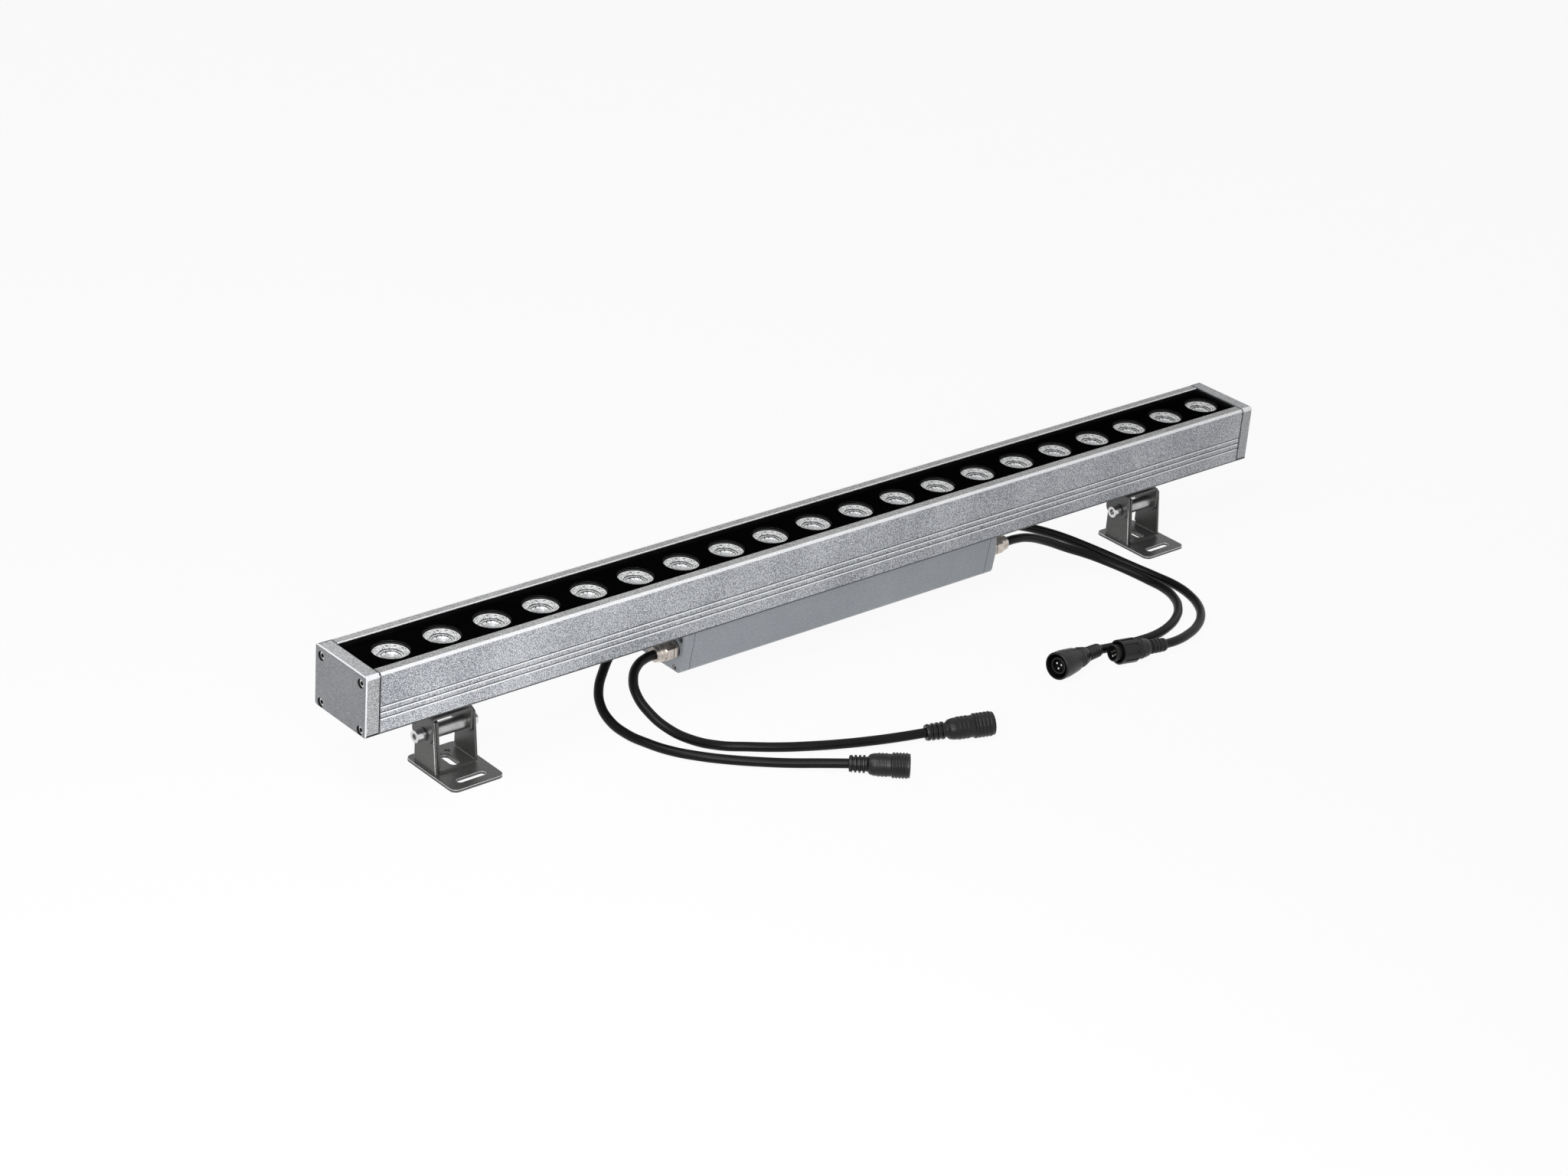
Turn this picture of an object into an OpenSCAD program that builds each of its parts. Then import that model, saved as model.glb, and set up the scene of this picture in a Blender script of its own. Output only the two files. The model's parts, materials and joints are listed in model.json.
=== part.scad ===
// Linear wall washer lamp on two tilting brackets, with a driver box and four plug-in cords.
// X runs along the lamp, Y points to the back, Z is up and the brackets stand on Z = 0.

/* [Lamp body] */
// Length of the lamp over both end caps
lamp_len = 1000; // [800:1:1400]
// Width of the housing from front to back
body_w = 70; // [68.5:0.5:90]
// Height of the housing
body_h = 54; // [52:0.5:80]
// Side wall thickness of the extrusion
wall_t = 3.5; // [2.5:0.1:4]
// Bottom wall thickness of the extrusion
base_t = 3.5; // [2:0.1:5]
// Width of each rim beside the black lens plate
rim_w = 10; // [9.6:0.1:10.4]
// Width of the long cut along the upper front edge
edge_cut = 2; // [0.5:0.1:2.5]
// Corner radius at the upper back edge
back_top_r = 3.5; // [1:0.1:5]
// Corner radius at the lower back edge
back_low_r = 5.5; // [1:0.1:6]
// Corner radius at the lower front edge
front_low_r = 3; // [1:0.1:6]
// Height of the highest face groove above the body's underside
groove_top_z = 25.3; // [22:0.1:30]
// Distance from one face groove to the next
groove_step = 5.25; // [4:0.05:7]
// Number of face grooves
groove_count = 3; // [1:1:4]
// Depth of a face groove
groove_depth = 1.1; // [0.4:0.1:1.4]

/* [End caps] */
// Thickness of an end cap
cap_t = 12.5; // [8:0.5:20]
// Thickness of an end gasket
gasket_t = 0.8; // [0.4:0.1:2]
// How far a gasket stays inside the outline, which leaves a dark seam
gasket_inset = 0.7; // [0.2:0.1:1]
// Distance of the cap screws from the side faces
cap_screw_side = 8.1; // [7.6:0.05:8.1]
// Height of the lower cap screws above the body's underside
cap_screw_low = 4.8; // [4.7:0.1:8]
// Depth of the upper cap screws below the body's top
cap_screw_top = 8.4; // [8:0.1:9]
// Shank radius of a cap screw
cap_screw_r = 1.75; // [1:0.05:1.8]
// Head radius of a cap screw
cap_head_r = 3.4; // [2.6:0.1:3.6]
// Head height of a cap screw
cap_head_h = 3.6; // [2:0.1:5]
// Width of the bevel round the outer face of an end cap
cap_bevel = 0.8; // [0.2:0.1:1.5]

/* [Lens row] */
// Number of lenses
lens_count = 20; // [6:1:20]
// Distance from the left end to the first lens
lens_first = 46.5; // [40:0.5:60]
// Distance from the last lens to the right end
lens_last = 33.1; // [32:0.1:60]
// Radius of a round opening in the lens plate
opening_r = 15.5; // [13:0.05:16]
// Depth of a lens face below the plate's top
lens_depth = 2; // [1.6:0.1:2.4]
// How far the lens plate lies below the rims
plate_sink = 4; // [3:0.1:5]
// Thickness of the lens plate's upper slab
plate_t = 4; // [3.6:0.1:5]
// Height of the lens cups under the slab
cup_h = 6; // [4:0.1:7]
// How far the silicone bead stays below the rims
bead_low = 1; // [0.5:0.1:2]
// Width of the silicone bead round the lens plate
bead_w = 1.7; // [1:0.1:2]
// Flange radius of a lens
flange_r = 17; // [16.8:0.05:17.2]
// Flange height of a lens
flange_h = 2; // [1:0.1:3]
// Radius of the small deep ring in a lens face
lens_well_r = 4.25; // [2:0.05:5]
// Depth of that ring below the lens face
lens_well_h = 6; // [2:0.1:8]
// Depth of the bowl in a lens face
lens_bowl_h = 1.5; // [0.5:0.1:2]
// Height of one step in a lens face
lens_step_h = 0.6; // [0.2:0.05:1]
// Radius of a lens foot
lens_foot_r = 7; // [5.5:0.1:9]
// Height of the pocket for the LED in a lens foot
lens_pocket_h = 4.6; // [3:0.1:6]
// Thickness of the seal ring over a lens
lens_seal_t = 0.6; // [0.3:0.05:1]

/* [LED board] */
// Height of the extrusion's inner shelf top above the body's underside
shelf_z = 27.6; // [26:0.1:29]
// Thickness of the shelf
shelf_t = 3; // [2:0.1:4]
// Width of the LED board
led_board_w = 36; // [30:0.5:40]
// Thickness of the LED board
led_board_t = 1.6; // [1:0.1:2]
// How far the board stays away from the end gaskets
led_board_gap = 8; // [2:0.5:12]
// Side of a square LED
led_size = 5; // [3:0.1:6]
// Height of an LED's base
led_base_h = 0.8; // [0.4:0.1:1.5]
// Dome radius of an LED
led_dome_r = 2; // [1:0.1:2.4]
// Screws that hold the LED board
board_screw_count = 6; // [2:1:8]
// Shank radius of a board screw
board_screw_r = 1.5; // [1:0.1:2]
// Length of a board screw's shank
board_screw_len = 4; // [2:0.1:4.5]
// Head radius of a small pan head screw
small_head_r = 2.8; // [2.2:0.1:3]
// Head height of a small pan head screw
small_head_h = 1.8; // [1:0.1:2.4]

/* [Driver box] */
// Length of the driver box over its end caps
box_len = 360; // [300:1:380]
// Half width of the driver box at its top
box_half_top = 32; // [31:0.1:33.5]
// Half width of the driver box at its bottom
box_half_low = 26.7; // [25:0.1:30]
// Depth of the driver box
box_h = 39.5; // [38:0.1:46]
// Wall thickness of the driver box
box_wall = 2.4; // [1.8:0.1:3]
// Radius along the lower edges of the driver box
box_low_r = 6; // [3:0.1:6.5]
// Thickness of a driver box cap
box_cap_t = 10; // [9:0.1:14]
// Radius round the upright edges of a driver box cap
box_cap_r = 6; // [2:0.1:7]
// Thickness of a driver gasket
box_gasket_t = 0.6; // [0.3:0.1:1.2]
// Thickness of the pad between housing and driver box
pad_t = 0.5; // [0.3:0.1:1.5]
// Distance of the upper box screws from the middle plane
box_screw_top_y = 25.2; // [24.8:0.1:25.5]
// Depth of the upper box screws below the body
box_screw_top_z = 6.6; // [6.2:0.1:7]
// Distance of the lower box screws from the middle plane
box_screw_low_y = 20.4; // [19.8:0.1:20.6]
// Depth of the lower box screws below the body
box_screw_low_z = 35.4; // [35:0.1:35.6]
// Shank radius of a box cap screw
box_screw_r = 1.4; // [1:0.05:1.5]
// Head radius of a box cap screw
box_head_r = 2.6; // [2:0.1:2.8]
// Head height of a box cap screw
box_head_h = 2.6; // [1.5:0.1:3]
// Width of the driver board
driver_board_w = 45; // [42:0.5:47]
// Thickness of the driver board
driver_board_t = 1.6; // [1:0.1:2]
// Distance from the screws that fix the driver box to the middle of the lamp
fix_screw_x = 120; // [100:1:140]
// Distance of those screws from the middle plane
fix_screw_y = 15; // [12:0.5:18]
// Shank radius of those screws
fix_screw_r = 2; // [1.5:0.1:2.5]
// Head radius of those screws
fix_head_r = 3.8; // [3:0.1:4.5]
// Head height of those screws
fix_head_h = 2.6; // [1.5:0.1:3.5]
// Outer radius of the wire nipple
nipple_r = 5; // [4:0.1:6]
// Bore radius of the wire nipple
nipple_bore_r = 3.4; // [2.6:0.1:3.6]
// Key width of the nipple's flange and nut
nipple_key = 14; // [13:0.5:16]
// Height of the nipple's flange and nut
nipple_hex_h = 3; // [2:0.1:4]
// Radius of a supply wire
wire_r = 1.1; // [0.6:0.1:1.3]

/* [Cable glands] */
// Distance of the glands from the middle plane
gland_y = 17.8; // [17.4:0.1:18.2]
// Depth of the glands below the body
gland_depth = 18; // [17:0.1:19]
// Thread radius of a gland
gland_thread_r = 6; // [5.4:0.1:6.4]
// Key width of a gland's hexagon
gland_key = 15.6; // [14:0.1:16]
// Height of a gland's hexagon
gland_hex_h = 4.5; // [3:0.1:6]
// Thickness of the sealing ring under a gland
gland_ring_t = 1.2; // [0.5:0.1:2]
// Length of a gland's dome nut
gland_nut_len = 16.3; // [14:0.1:18]
// Outer radius of the dome nut's round part
gland_dome_r = 7.4; // [6.8:0.1:7.6]

/* [Cords and connectors] */
// Radius of a cord
cord_r = 4.1; // [3:0.05:4.2]
// Length of each socket connector
socket_len = [59, 49.5]; // [40:0.5:70]
// Largest radius of a socket connector
socket_r = 10.6; // [9:0.1:10.8]
// Length of each plug connector without its ring
plug_len = [57, 58]; // [40:0.5:70]
// Largest radius of a plug connector's body
plug_r = 9.2; // [8:0.1:9.4]
// Radius of the wide ring on the first plug
ring_a_r = 12.4; // [11.5:0.1:12.5]
// Length of the wide ring on the first plug
ring_a_len = 25; // [20:0.1:26]
// Radius of the grip ring on the second plug
ring_b_r = 11; // [10.5:0.1:11.2]
// Length of the grip ring on the second plug
ring_b_len = 17; // [14:0.1:20]
// Radius of a contact pin
pin_r = 0.8; // [0.5:0.05:1]

/* [Brackets] */
// Distance from a lamp end to the middle of the foot plate under it
foot_end = 105; // [60:1:200]
// Height of the cross bolt above the ground
bolt_z = 34.3; // [33:0.1:45]
// Distance from the cross bolt up to the body
hang_h = 35; // [33:0.1:45]
// Length of a foot plate along the lamp
foot_w = 50.6; // [50:0.1:60]
// How far a foot plate reaches in front of the cross bolt
foot_front = 43.4; // [42:0.1:50]
// How far a foot plate reaches behind the cross bolt
foot_back = 24.2; // [20:0.1:30]
// Thickness of a foot plate
foot_t = 2.6; // [2:0.1:4]
// Corner radius of a foot plate
foot_r = 6; // [2:0.1:8]
// Distance from the plate's edge to the cheek's outer face
foot_side = 2.6; // [2.3:0.1:6]
// Thickness of the channel, and of the cheek beside it
channel_t = 2.2; // [1.5:0.1:2.6]
// Width of the channel over its walls
channel_w = 38.4; // [37:0.1:39]
// Gap between the cheek and the channel's wall
cheek_gap = 1; // [0.8:0.1:1.6]
// Thickness of the washer between the right ear and the wall beside it
ear_space = 1.4; // [1:0.1:2]
// How far the walls reach behind the cross bolt
wall_back = 15; // [12:0.1:15]
// How far the walls reach in front of the cross bolt at their tops
wall_front = 8.6; // [8:0.1:12]
// How far the walls' front edges lean out towards the foot
wall_lean = 6; // [5.5:0.1:6.4]
// Radius of the walls' round tops about the cross bolt
wall_top_r = 15; // [13:0.1:15.2]
// Width of the relief cut at each lower corner of the channel
relief = 3; // [1:0.1:4]
// Thickness of the hanger's strap
ear_t = 2; // [1.5:0.1:2.2]
// How far an ear reaches in front of the cross bolt
ear_front = 10.6; // [9:0.1:12]
// How far an ear reaches behind the cross bolt
ear_back = 16; // [14:0.1:17]
// How far an ear reaches below the cross bolt
ear_drop = 7.6; // [6.5:0.1:8.5]
// Height of the hanger's web above the cross bolt
web_rise = 17.6; // [17.5:0.1:20]
// Length of the block between the hanger's web and the body
block_len = 28; // [24:0.5:34]
// Half width of that block
block_half = 8; // [6:0.1:9]
// Gap between an ear and the plate beside it
ear_gap = 0.1; // [0.05:0.05:0.2]
// Length of the slot at the front of a foot plate
slot_len = 27.5; // [20:0.1:32]
// Width of that slot
slot_w = 6; // [4.5:0.1:6.5]
// Distance from the plate's front edge to the slot's middle line
slot_edge = 11.8; // [9:0.1:13]
// Width of the slot in the channel's floor
floor_slot_w = 9; // [6:0.1:11]
// Distance from the cross bolt to that slot's front end
floor_slot_front = 12.4; // [10:0.1:12.5]
// Distance from the cross bolt to that slot's back end
floor_slot_back = 9; // [6:0.1:9.5]
// Radius of the small round hole in the channel's floor
peg_r = 2.4; // [1.5:0.1:2.6]
// Distance from the foot's middle line to that hole
peg_side = 6.5; // [6:0.1:8]

/* [Cross bolt] */
// Shank radius of the cross bolt
bolt_r = 3; // [2.5:0.1:3.5]
// Running clearance round the cross bolt
bolt_clear = 0.08; // [0.05:0.01:0.1]
// Head radius of the cross bolt
bolt_head_r = 5.2; // [4.6:0.1:6]
// Head height of the cross bolt
bolt_head_h = 7.5; // [5:0.1:8]
// Key width of the cross bolt's socket
bolt_key = 5; // [4:0.1:6]
// Outer radius of the spring washer
spring_r = 5.6; // [5:0.1:6]
// Thickness of the spring washer
spring_t = 1.4; // [1:0.1:2]
// Outer radius of the flat washer
washer_r = 6; // [5.5:0.1:7]
// Thickness of the flat washer
washer_t = 1.2; // [0.8:0.1:2]
// Key width of the nut
nut_key = 10; // [8:0.1:11]
// Height of the nut
nut_h = 5; // [4:0.1:6]
// How far the bolt stands out of the nut
bolt_end = 1.5; // [0.5:0.1:3]
// Outer radius of the spacer tube
spacer_r = 6.2; // [4.5:0.05:7]
// Shank radius of a hanger screw
hang_screw_r = 2.2; // [2:0.1:2.5]
// Head radius of a hanger screw
hang_head_r = 4; // [3.5:0.1:4.2]
// Head height of a hanger screw
hang_head_h = 2.4; // [1.5:0.1:3]
// Distance between the two screws of a hanger
hang_screw_gap = 15; // [14:0.5:16]

/* [Hidden] */
$fn = 64;
// Overrun of a cut past the face it goes through
over = 1;
// Clearance round a screw's shank and round a head in its recess
hole_clear = 0.1;
head_clear = 0.6;
// Clearance between inner pieces that slip together
slip = 0.1;

// Places worked out from the sizes above
half_len = lamp_len / 2;
half_w = body_w / 2;
body_z = bolt_z + hang_h;
// The lamp's middle plane lies behind the middle of the footprint
lamp_y = (foot_front - half_w) / 2;
slot_half = half_w - rim_w;
cap_screw_y = half_w - cap_screw_side;
inner_len = lamp_len - 2 * (cap_t + gasket_t);
inner_half = half_w - wall_t;
plate_top = body_h - plate_sink;
ledge_z = plate_top - plate_t;
ledge_w = 3.7;
throat_half = slot_half - ledge_w;
chamber_top = ledge_z - cup_h;
lens_pitch = (lamp_len - lens_first - lens_last) / (lens_count - 1);
lens_z = plate_top - lens_depth;
lens_low = shelf_z + led_board_t;
port_r = cap_screw_r + hole_clear;
port_boss_r = 3.8;
port_len = 16;
groove_lip = 0.5;
groove_slope = 1.6;
socket_share = 0.55;
key_share = 0.5;

// Driver box places, measured down from the body
box_top = -pad_t;
box_inner_len = box_len - 2 * (box_cap_t + box_gasket_t);
box_slope = atan((box_half_top - box_half_low) / (box_h - pad_t));
driver_board_z = -30.5;
rail_t = 1.4;
rail_reach = 2.6;
box_port_r = box_screw_r + hole_clear;
box_boss_r = 2.9;
box_port_len = 12;
gland_z = -gland_depth;
gland_bore_r = gland_thread_r + hole_clear;
gland_x0 = box_len / 2 + gland_ring_t + gland_hex_h;
gland_end_x = gland_x0 + gland_nut_len;
gland_thread_len = 8;
grip_gap = 0.1;

// Bracket places along X, from the cheek's outer face
foot_half = foot_w / 2;
foot_x = half_len - foot_end;
bracket_x0 = foot_side - foot_half;
ear1_x = -ear_gap - ear_t;
wall1_x = channel_t + cheek_gap;
wall2_x = wall1_x + channel_w - channel_t;
ear2_x = wall2_x - ear_space - ear_t;
channel_end = wall1_x + channel_w;
spacer_x = wall1_x + channel_t;
bolt_len = channel_end - ear1_x + spring_t + washer_t + nut_h + bolt_end;
bolt_hole_r = bolt_r + bolt_clear;
hang_mid = (ear1_x + ear2_x + ear_t) / 2;
bend_r = 1;
block_h = hang_h - web_rise;
hang_screw_len = ear_t + block_h + base_t + over;

// Routes of the four cords between gland and connector, every point chosen by hand
route_1 = [
    [-211.2, -15, 51.3], [-223.6, -19.9, 50.2], [-235.8, -30.2, 46.5], [-243.4, -45.1, 40.1],
    [-243.2, -63.1, 31.1], [-235.3, -76.9, 21.5], [-219.3, -87.9, 11.5], [-198.2, -99.1, 4.5],
    [-178.4, -114.5, 4.3], [-158.1, -128.5, 4.3], [-135.3, -141.1, 4.3], [-110.6, -152.7, 4.5],
    [-85.9, -163.3, 5.2], [-63.2, -172.8, 6.4]
];
route_2 = [
    [-211.7, 20.5, 49.3], [-223.3, 16.4, 43.9], [-234.6, 10.4, 35], [-244.4, 3, 25],
    [-250.4, -7.7, 16.2], [-252.1, -23.3, 8.6], [-249.8, -41.9, 4.4], [-245.3, -63.6, 4.3],
    [-237.3, -83.8, 4.3], [-223.7, -103.4, 4.3], [-205.6, -122.6, 4.3], [-186.7, -139.1, 4.5],
    [-167.7, -154.3, 5], [-149.8, -168.7, 6.2]
];
route_3 = [
    [217.4, -12.3, 50.2], [235.5, -10.7, 46.2], [259.7, -10.7, 36.6], [283.9, -15.9, 25.3],
    [303, -25.6, 17.8], [317.2, -38.8, 11.7], [327, -54.6, 7.4], [332.8, -74.7, 4.7],
    [332.8, -95.7, 4.3], [326.7, -114.1, 4.3], [314.6, -130.5, 4.3], [298.1, -143.1, 4.3],
    [278.4, -151.9, 4.6], [257.9, -156.4, 4.6], [235, -157.2, 5.4], [210.9, -156, 6.7]
];
route_4 = [
    [215.1, 21.8, 50.5], [232.2, 20.6, 47.7], [254.2, 16.9, 41.6], [275.5, 10.2, 34.4],
    [294.1, 0.8, 27.1], [311.5, -12.5, 19.2], [325.7, -28.7, 12.5], [337, -48.5, 7.3],
    [344.9, -72.6, 4.6], [347, -96.7, 4.3], [343.2, -117.9, 4.3], [334.1, -137.3, 4.3],
    [320.8, -152.8, 4.3], [303.3, -164.5, 4.5], [282.6, -173, 5.8], [262.5, -177.9, 7.3]
];
// Back end of each connector, its heading and its rise, as it lies on the ground
socket_1_at = [-43.5, -180.9, 8.0];
socket_1_turn = -23.4;
socket_1_rise = 3.7;
socket_2_at = [-131.7, -184.7, 8.0];
socket_2_turn = -46.1;
socket_2_rise = 4.5;
plug_a_at = [185.7, -155.2, 9.4];
plug_a_turn = -172.9;
plug_a_rise = 3.6;
plug_b_at = [244.6, -179.0, 8.8];
plug_b_turn = 171.8;
plug_b_rise = 3.8;
cord_sides = 8;

// Half profiles of the connectors: share of the length, then share of the largest radius
boot_shares = [
    [0, 0.62], [0.03, 0.66], [0.05, 0.66], [0.06, 0.54], [0.08, 0.54], [0.09, 0.68], [0.12, 0.68],
    [0.13, 0.54], [0.15, 0.54], [0.16, 0.69], [0.19, 0.69], [0.2, 0.55], [0.22, 0.55], [0.23, 0.7],
    [0.26, 0.7], [0.27, 0.56], [0.3, 0.58]
];
socket_shares = [
    [0.34, 0.78], [0.4, 0.86], [0.47, 0.88], [0.475, 0.92], [0.5, 0.92], [0.505, 0.88], [0.53, 0.88],
    [0.535, 0.92], [0.56, 0.92], [0.565, 0.88], [0.59, 0.88], [0.595, 0.92], [0.62, 0.92],
    [0.625, 0.88], [0.68, 0.88], [0.7, 0.86]
];
plug_shares = [
    [0.34, 0.82], [0.4, 0.92], [0.46, 0.96], [0.465, 1], [0.49, 1], [0.495, 0.94], [0.53, 0.94],
    [0.535, 1], [0.56, 1], [0.565, 0.94], [0.6, 0.94]
];
thread_share = 0.7;
thread_turns = 5;
thread_depth = 0.7;
face_wall = 1.5;
face_depth = 10;
plug_depth = 8;
insert_len = 3;
pin_len = 7;
pin_ring_r = 3.4;
plug_tube_r = 7.4;
plug_tube_wall = 1.3;
plug_neck_share = 0.6;
ring_wall = 1.6;
ring_seat_t = 3;
ring_clear = 0.08;
grip_count = 10;
grip_depth = 0.7;

// Puts its children at the lamp's middle plane, with Z measured from the body's underside
module lamp() {
    translate([0, lamp_y, body_z]) children();
}

// Extrudes a drawing in Y and Z along X, from x0
module along_x(x0, len) {
    translate([x0, 0, 0]) rotate([90, 0, 90]) linear_extrude(len) children();
}

// Turns a piece that was drawn along Z so that it points along X
module lay_x() {
    rotate([0, 90, 0]) children();
}

module both_ends() {
    children();
    mirror([1, 0, 0]) children();
}

// A regular hexagon by the width across its flats
module hexagon(key) {
    circle(r = key / 2 / cos(180 / 6), $fn = 6);
}

module slot_shape(len, width) {
    square([len - width, width], center = true);
    for (side = [-1, 1]) translate([side * (len - width) / 2, 0]) circle(width / 2);
}

module rounded_plate(x0, x1, y0, y1, r) {
    translate([x0 + r, y0]) square([x1 - x0 - 2 * r, y1 - y0]);
    translate([x0, y0 + r]) square([x1 - x0, y1 - y0 - 2 * r]);
    for (x = [x0 + r, x1 - r], y = [y0 + r, y1 - r]) translate([x, y]) circle(r);
}

// Socket head screw along X: the head lies before x = 0 and the shank after it
module socket_screw(shank_r, shank_len, head_r, head_h, key) {
    difference() {
        union() {
            lay_x() cylinder(h = shank_len, r = shank_r);
            translate([-head_h, 0, 0]) lay_x() cylinder(h = head_h, r = head_r);
        }
        translate([-head_h - over, 0, 0]) lay_x()
            linear_extrude(head_h * socket_share + over) hexagon(key);
    }
}

// Pan head screw along Z: the head lies below z = 0 and the shank above it
module pan_screw(shank_r, shank_len, head_r, head_h) {
    cylinder(h = shank_len, r = shank_r);
    difference() {
        mirror([0, 0, 1]) cylinder(h = head_h, r = head_r);
        translate([0, 0, -head_h - over]) linear_extrude(head_h * socket_share + over)
            hexagon(head_r);
    }
}

// Outline of the lamp body in Y and Z, drawn smaller all round by inset
module body_outline(inset = 0) {
    low_f = front_low_r - inset;
    low_b = back_low_r - inset;
    top_b = back_top_r - inset;
    cut = edge_cut;
    front = -half_w + inset;
    back = half_w - inset;
    bottom = inset;
    top = body_h - inset;
    polygon([
        [front, bottom + low_f], [front + low_f, bottom], [back - low_b, bottom],
        [back, bottom + low_b], [back, top - top_b], [back - top_b, top],
        [front + cut, top], [front, top - cut]
    ]);
    translate([front + low_f, bottom + low_f]) circle(low_f);
    translate([back - low_b, bottom + low_b]) circle(low_b);
    translate([back - top_b, top - top_b]) circle(top_b);
}

// Saw-tooth groove along the front and the back face: steep above, sloping below
module face_groove(z) {
    for (side = [-1, 1]) polygon([
        [side * (half_w + over), z + groove_lip],
        [side * half_w, z + groove_lip],
        [side * (half_w - groove_depth), z],
        [side * half_w, z - groove_slope],
        [side * (half_w + over), z - groove_slope]
    ]);
}

// Centres of the four end cap screws in Y and Z
cap_screws = [for (y = [-cap_screw_y, cap_screw_y], z = [cap_screw_low, body_h - cap_screw_top]) [y, z]];

module at_cap_screws() {
    for (p = cap_screws) translate(p) children();
}

module block(y_half, z0, z1) {
    translate([-y_half, z0]) square([2 * y_half, z1 - z0]);
}

module housing_section() {
    difference() {
        body_outline();
        for (i = [0 : groove_count - 1]) face_groove(groove_top_z - i * groove_step);
        block(slot_half, ledge_z, body_h + over);
        block(throat_half, chamber_top - over, ledge_z + over);
        block(inner_half, shelf_z, chamber_top);
        difference() {
            block(inner_half, base_t, shelf_z - shelf_t);
            for (side = [-1, 1]) translate([side * cap_screw_y, cap_screw_low]) circle(port_boss_r);
        }
        at_cap_screws() circle(port_r);
    }
}

module housing() {
    color("silver") lamp() difference() {
        along_x(-inner_len / 2, inner_len) housing_section();
        board_screw_places() translate([0, 0, -over])
            cylinder(h = board_screw_len + over, r = board_screw_r + hole_clear);
        translate([0, 0, -over]) cylinder(h = base_t + 2 * over, r = nipple_r + hole_clear);
        translate([0, 0, shelf_z - shelf_t - over])
            cylinder(h = shelf_t + 2 * over, r = nipple_r + hole_clear);
        fixing_places() translate([0, 0, -over])
            cylinder(h = base_t + 2 * over, r = fix_screw_r + hole_clear);
        both_hangers() hanger_screw_places() translate([0, 0, -over])
            cylinder(h = base_t + 2 * over, r = hang_screw_r + hole_clear);
    }
}

// Left end cap: the body's outline, bevelled round its outer face
module end_cap_shape() {
    x0 = -half_len;
    difference() {
        intersection() {
            along_x(x0, cap_t) body_outline();
            translate([0, half_w + over, 0]) rotate([90, 0, 0]) linear_extrude(body_w + 2 * over)
                polygon([
                    [x0 + cap_bevel, 0], [x0 + cap_t, 0], [x0 + cap_t, body_h],
                    [x0 + cap_bevel, body_h], [x0, body_h - cap_bevel], [x0, cap_bevel]
                ]);
            linear_extrude(body_h) polygon([
                [x0, -half_w + cap_bevel], [x0 + cap_bevel, -half_w], [x0 + cap_t, -half_w],
                [x0 + cap_t, half_w], [x0 + cap_bevel, half_w], [x0, half_w - cap_bevel]
            ]);
        }
        along_x(x0 - over, cap_t + 2 * over) at_cap_screws() circle(cap_screw_r + hole_clear);
        along_x(x0 - over, cap_head_h + 2 * head_clear + over) at_cap_screws()
            circle(cap_head_r + head_clear);
    }
}

module end_caps() {
    color("gainsboro") lamp() both_ends() end_cap_shape();
}

module end_gaskets() {
    color("black") lamp() both_ends() along_x(-half_len + cap_t, gasket_t) difference() {
        body_outline(gasket_inset);
        at_cap_screws() circle(port_r);
        block(throat_half, shelf_z, chamber_top);
    }
}

module end_cap_screws() {
    color("dimgray") lamp() both_ends()
        for (p = cap_screws) translate([-half_len + cap_head_h + 2 * head_clear, p[0], p[1]])
            socket_screw(cap_screw_r, cap_t + gasket_t - cap_head_h + port_len - over,
                cap_head_r, cap_head_h, cap_head_r);
}

module lens_places() {
    for (i = [0 : lens_count - 1]) translate([-half_len + lens_first + i * lens_pitch, 0, 0]) children();
}

// Black plate with a round opening and a cup under it for each lens
module lens_plate() {
    long = inner_len - 2 * bead_w;
    color([0.03, 0.03, 0.03]) lamp() difference() {
        union() {
            translate([-long / 2, -slot_half + bead_w, ledge_z])
                cube([long, 2 * (slot_half - bead_w), plate_t]);
            translate([-long / 2, -throat_half + slip, chamber_top + slip])
                cube([long, 2 * (throat_half - slip), cup_h]);
        }
        lens_places() {
            translate([0, 0, chamber_top]) cylinder(h = body_h, r = opening_r);
            translate([0, 0, chamber_top - over])
                cylinder(h = lens_z + lens_seal_t - chamber_top + over, r = flange_r + slip);
        }
    }
}

// A flat rectangle inset from the slot between the rims, used to shape the bead
module slot_sheet(inset, z) {
    translate([-inner_len / 2 + inset, -slot_half + inset, z])
        cube([inner_len - 2 * inset, 2 * (slot_half - inset), over]);
}

// Silicone bead round the lens plate, sloping up to the rims
module plate_seal() {
    top = body_h - bead_low;
    color("black") lamp() difference() {
        translate([-inner_len / 2, -slot_half, ledge_z]) cube([inner_len, 2 * slot_half, top - ledge_z]);
        hull() {
            slot_sheet(bead_w, ledge_z - over);
            slot_sheet(bead_w, plate_top - over);
        }
        hull() {
            slot_sheet(bead_w, plate_top - over);
            slot_sheet(bead_lip, top);
        }
    }
}
// Width of the bead's upper edge
bead_lip = 0.3;

// Radius shares of the two steps in a lens face
step_shares = [0.65, 0.53];
// Radii of the LED pocket's roof and mouth as shares of the LED's side
pocket_shares = [0.6, 0.8];
// Curve of a lens's outer wall between its foot and its flange
function lens_wall(t) = [
    lens_foot_r + (opening_r - slip - lens_foot_r) * pow(t, bowl_power),
    lens_low + (lens_z - flange_h - lens_low) * t
];
bowl_power = 0.62;
wall_steps = 8;
bowl_z = lens_z - lens_bowl_h;
// Curve of the bowl from the opening's edge down to the first step
function lens_bowl(t, r_end) = [
    opening_r - slip + (r_end - opening_r + slip) * t,
    lens_z - lens_bowl_h * sin(90 * t)
];

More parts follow.
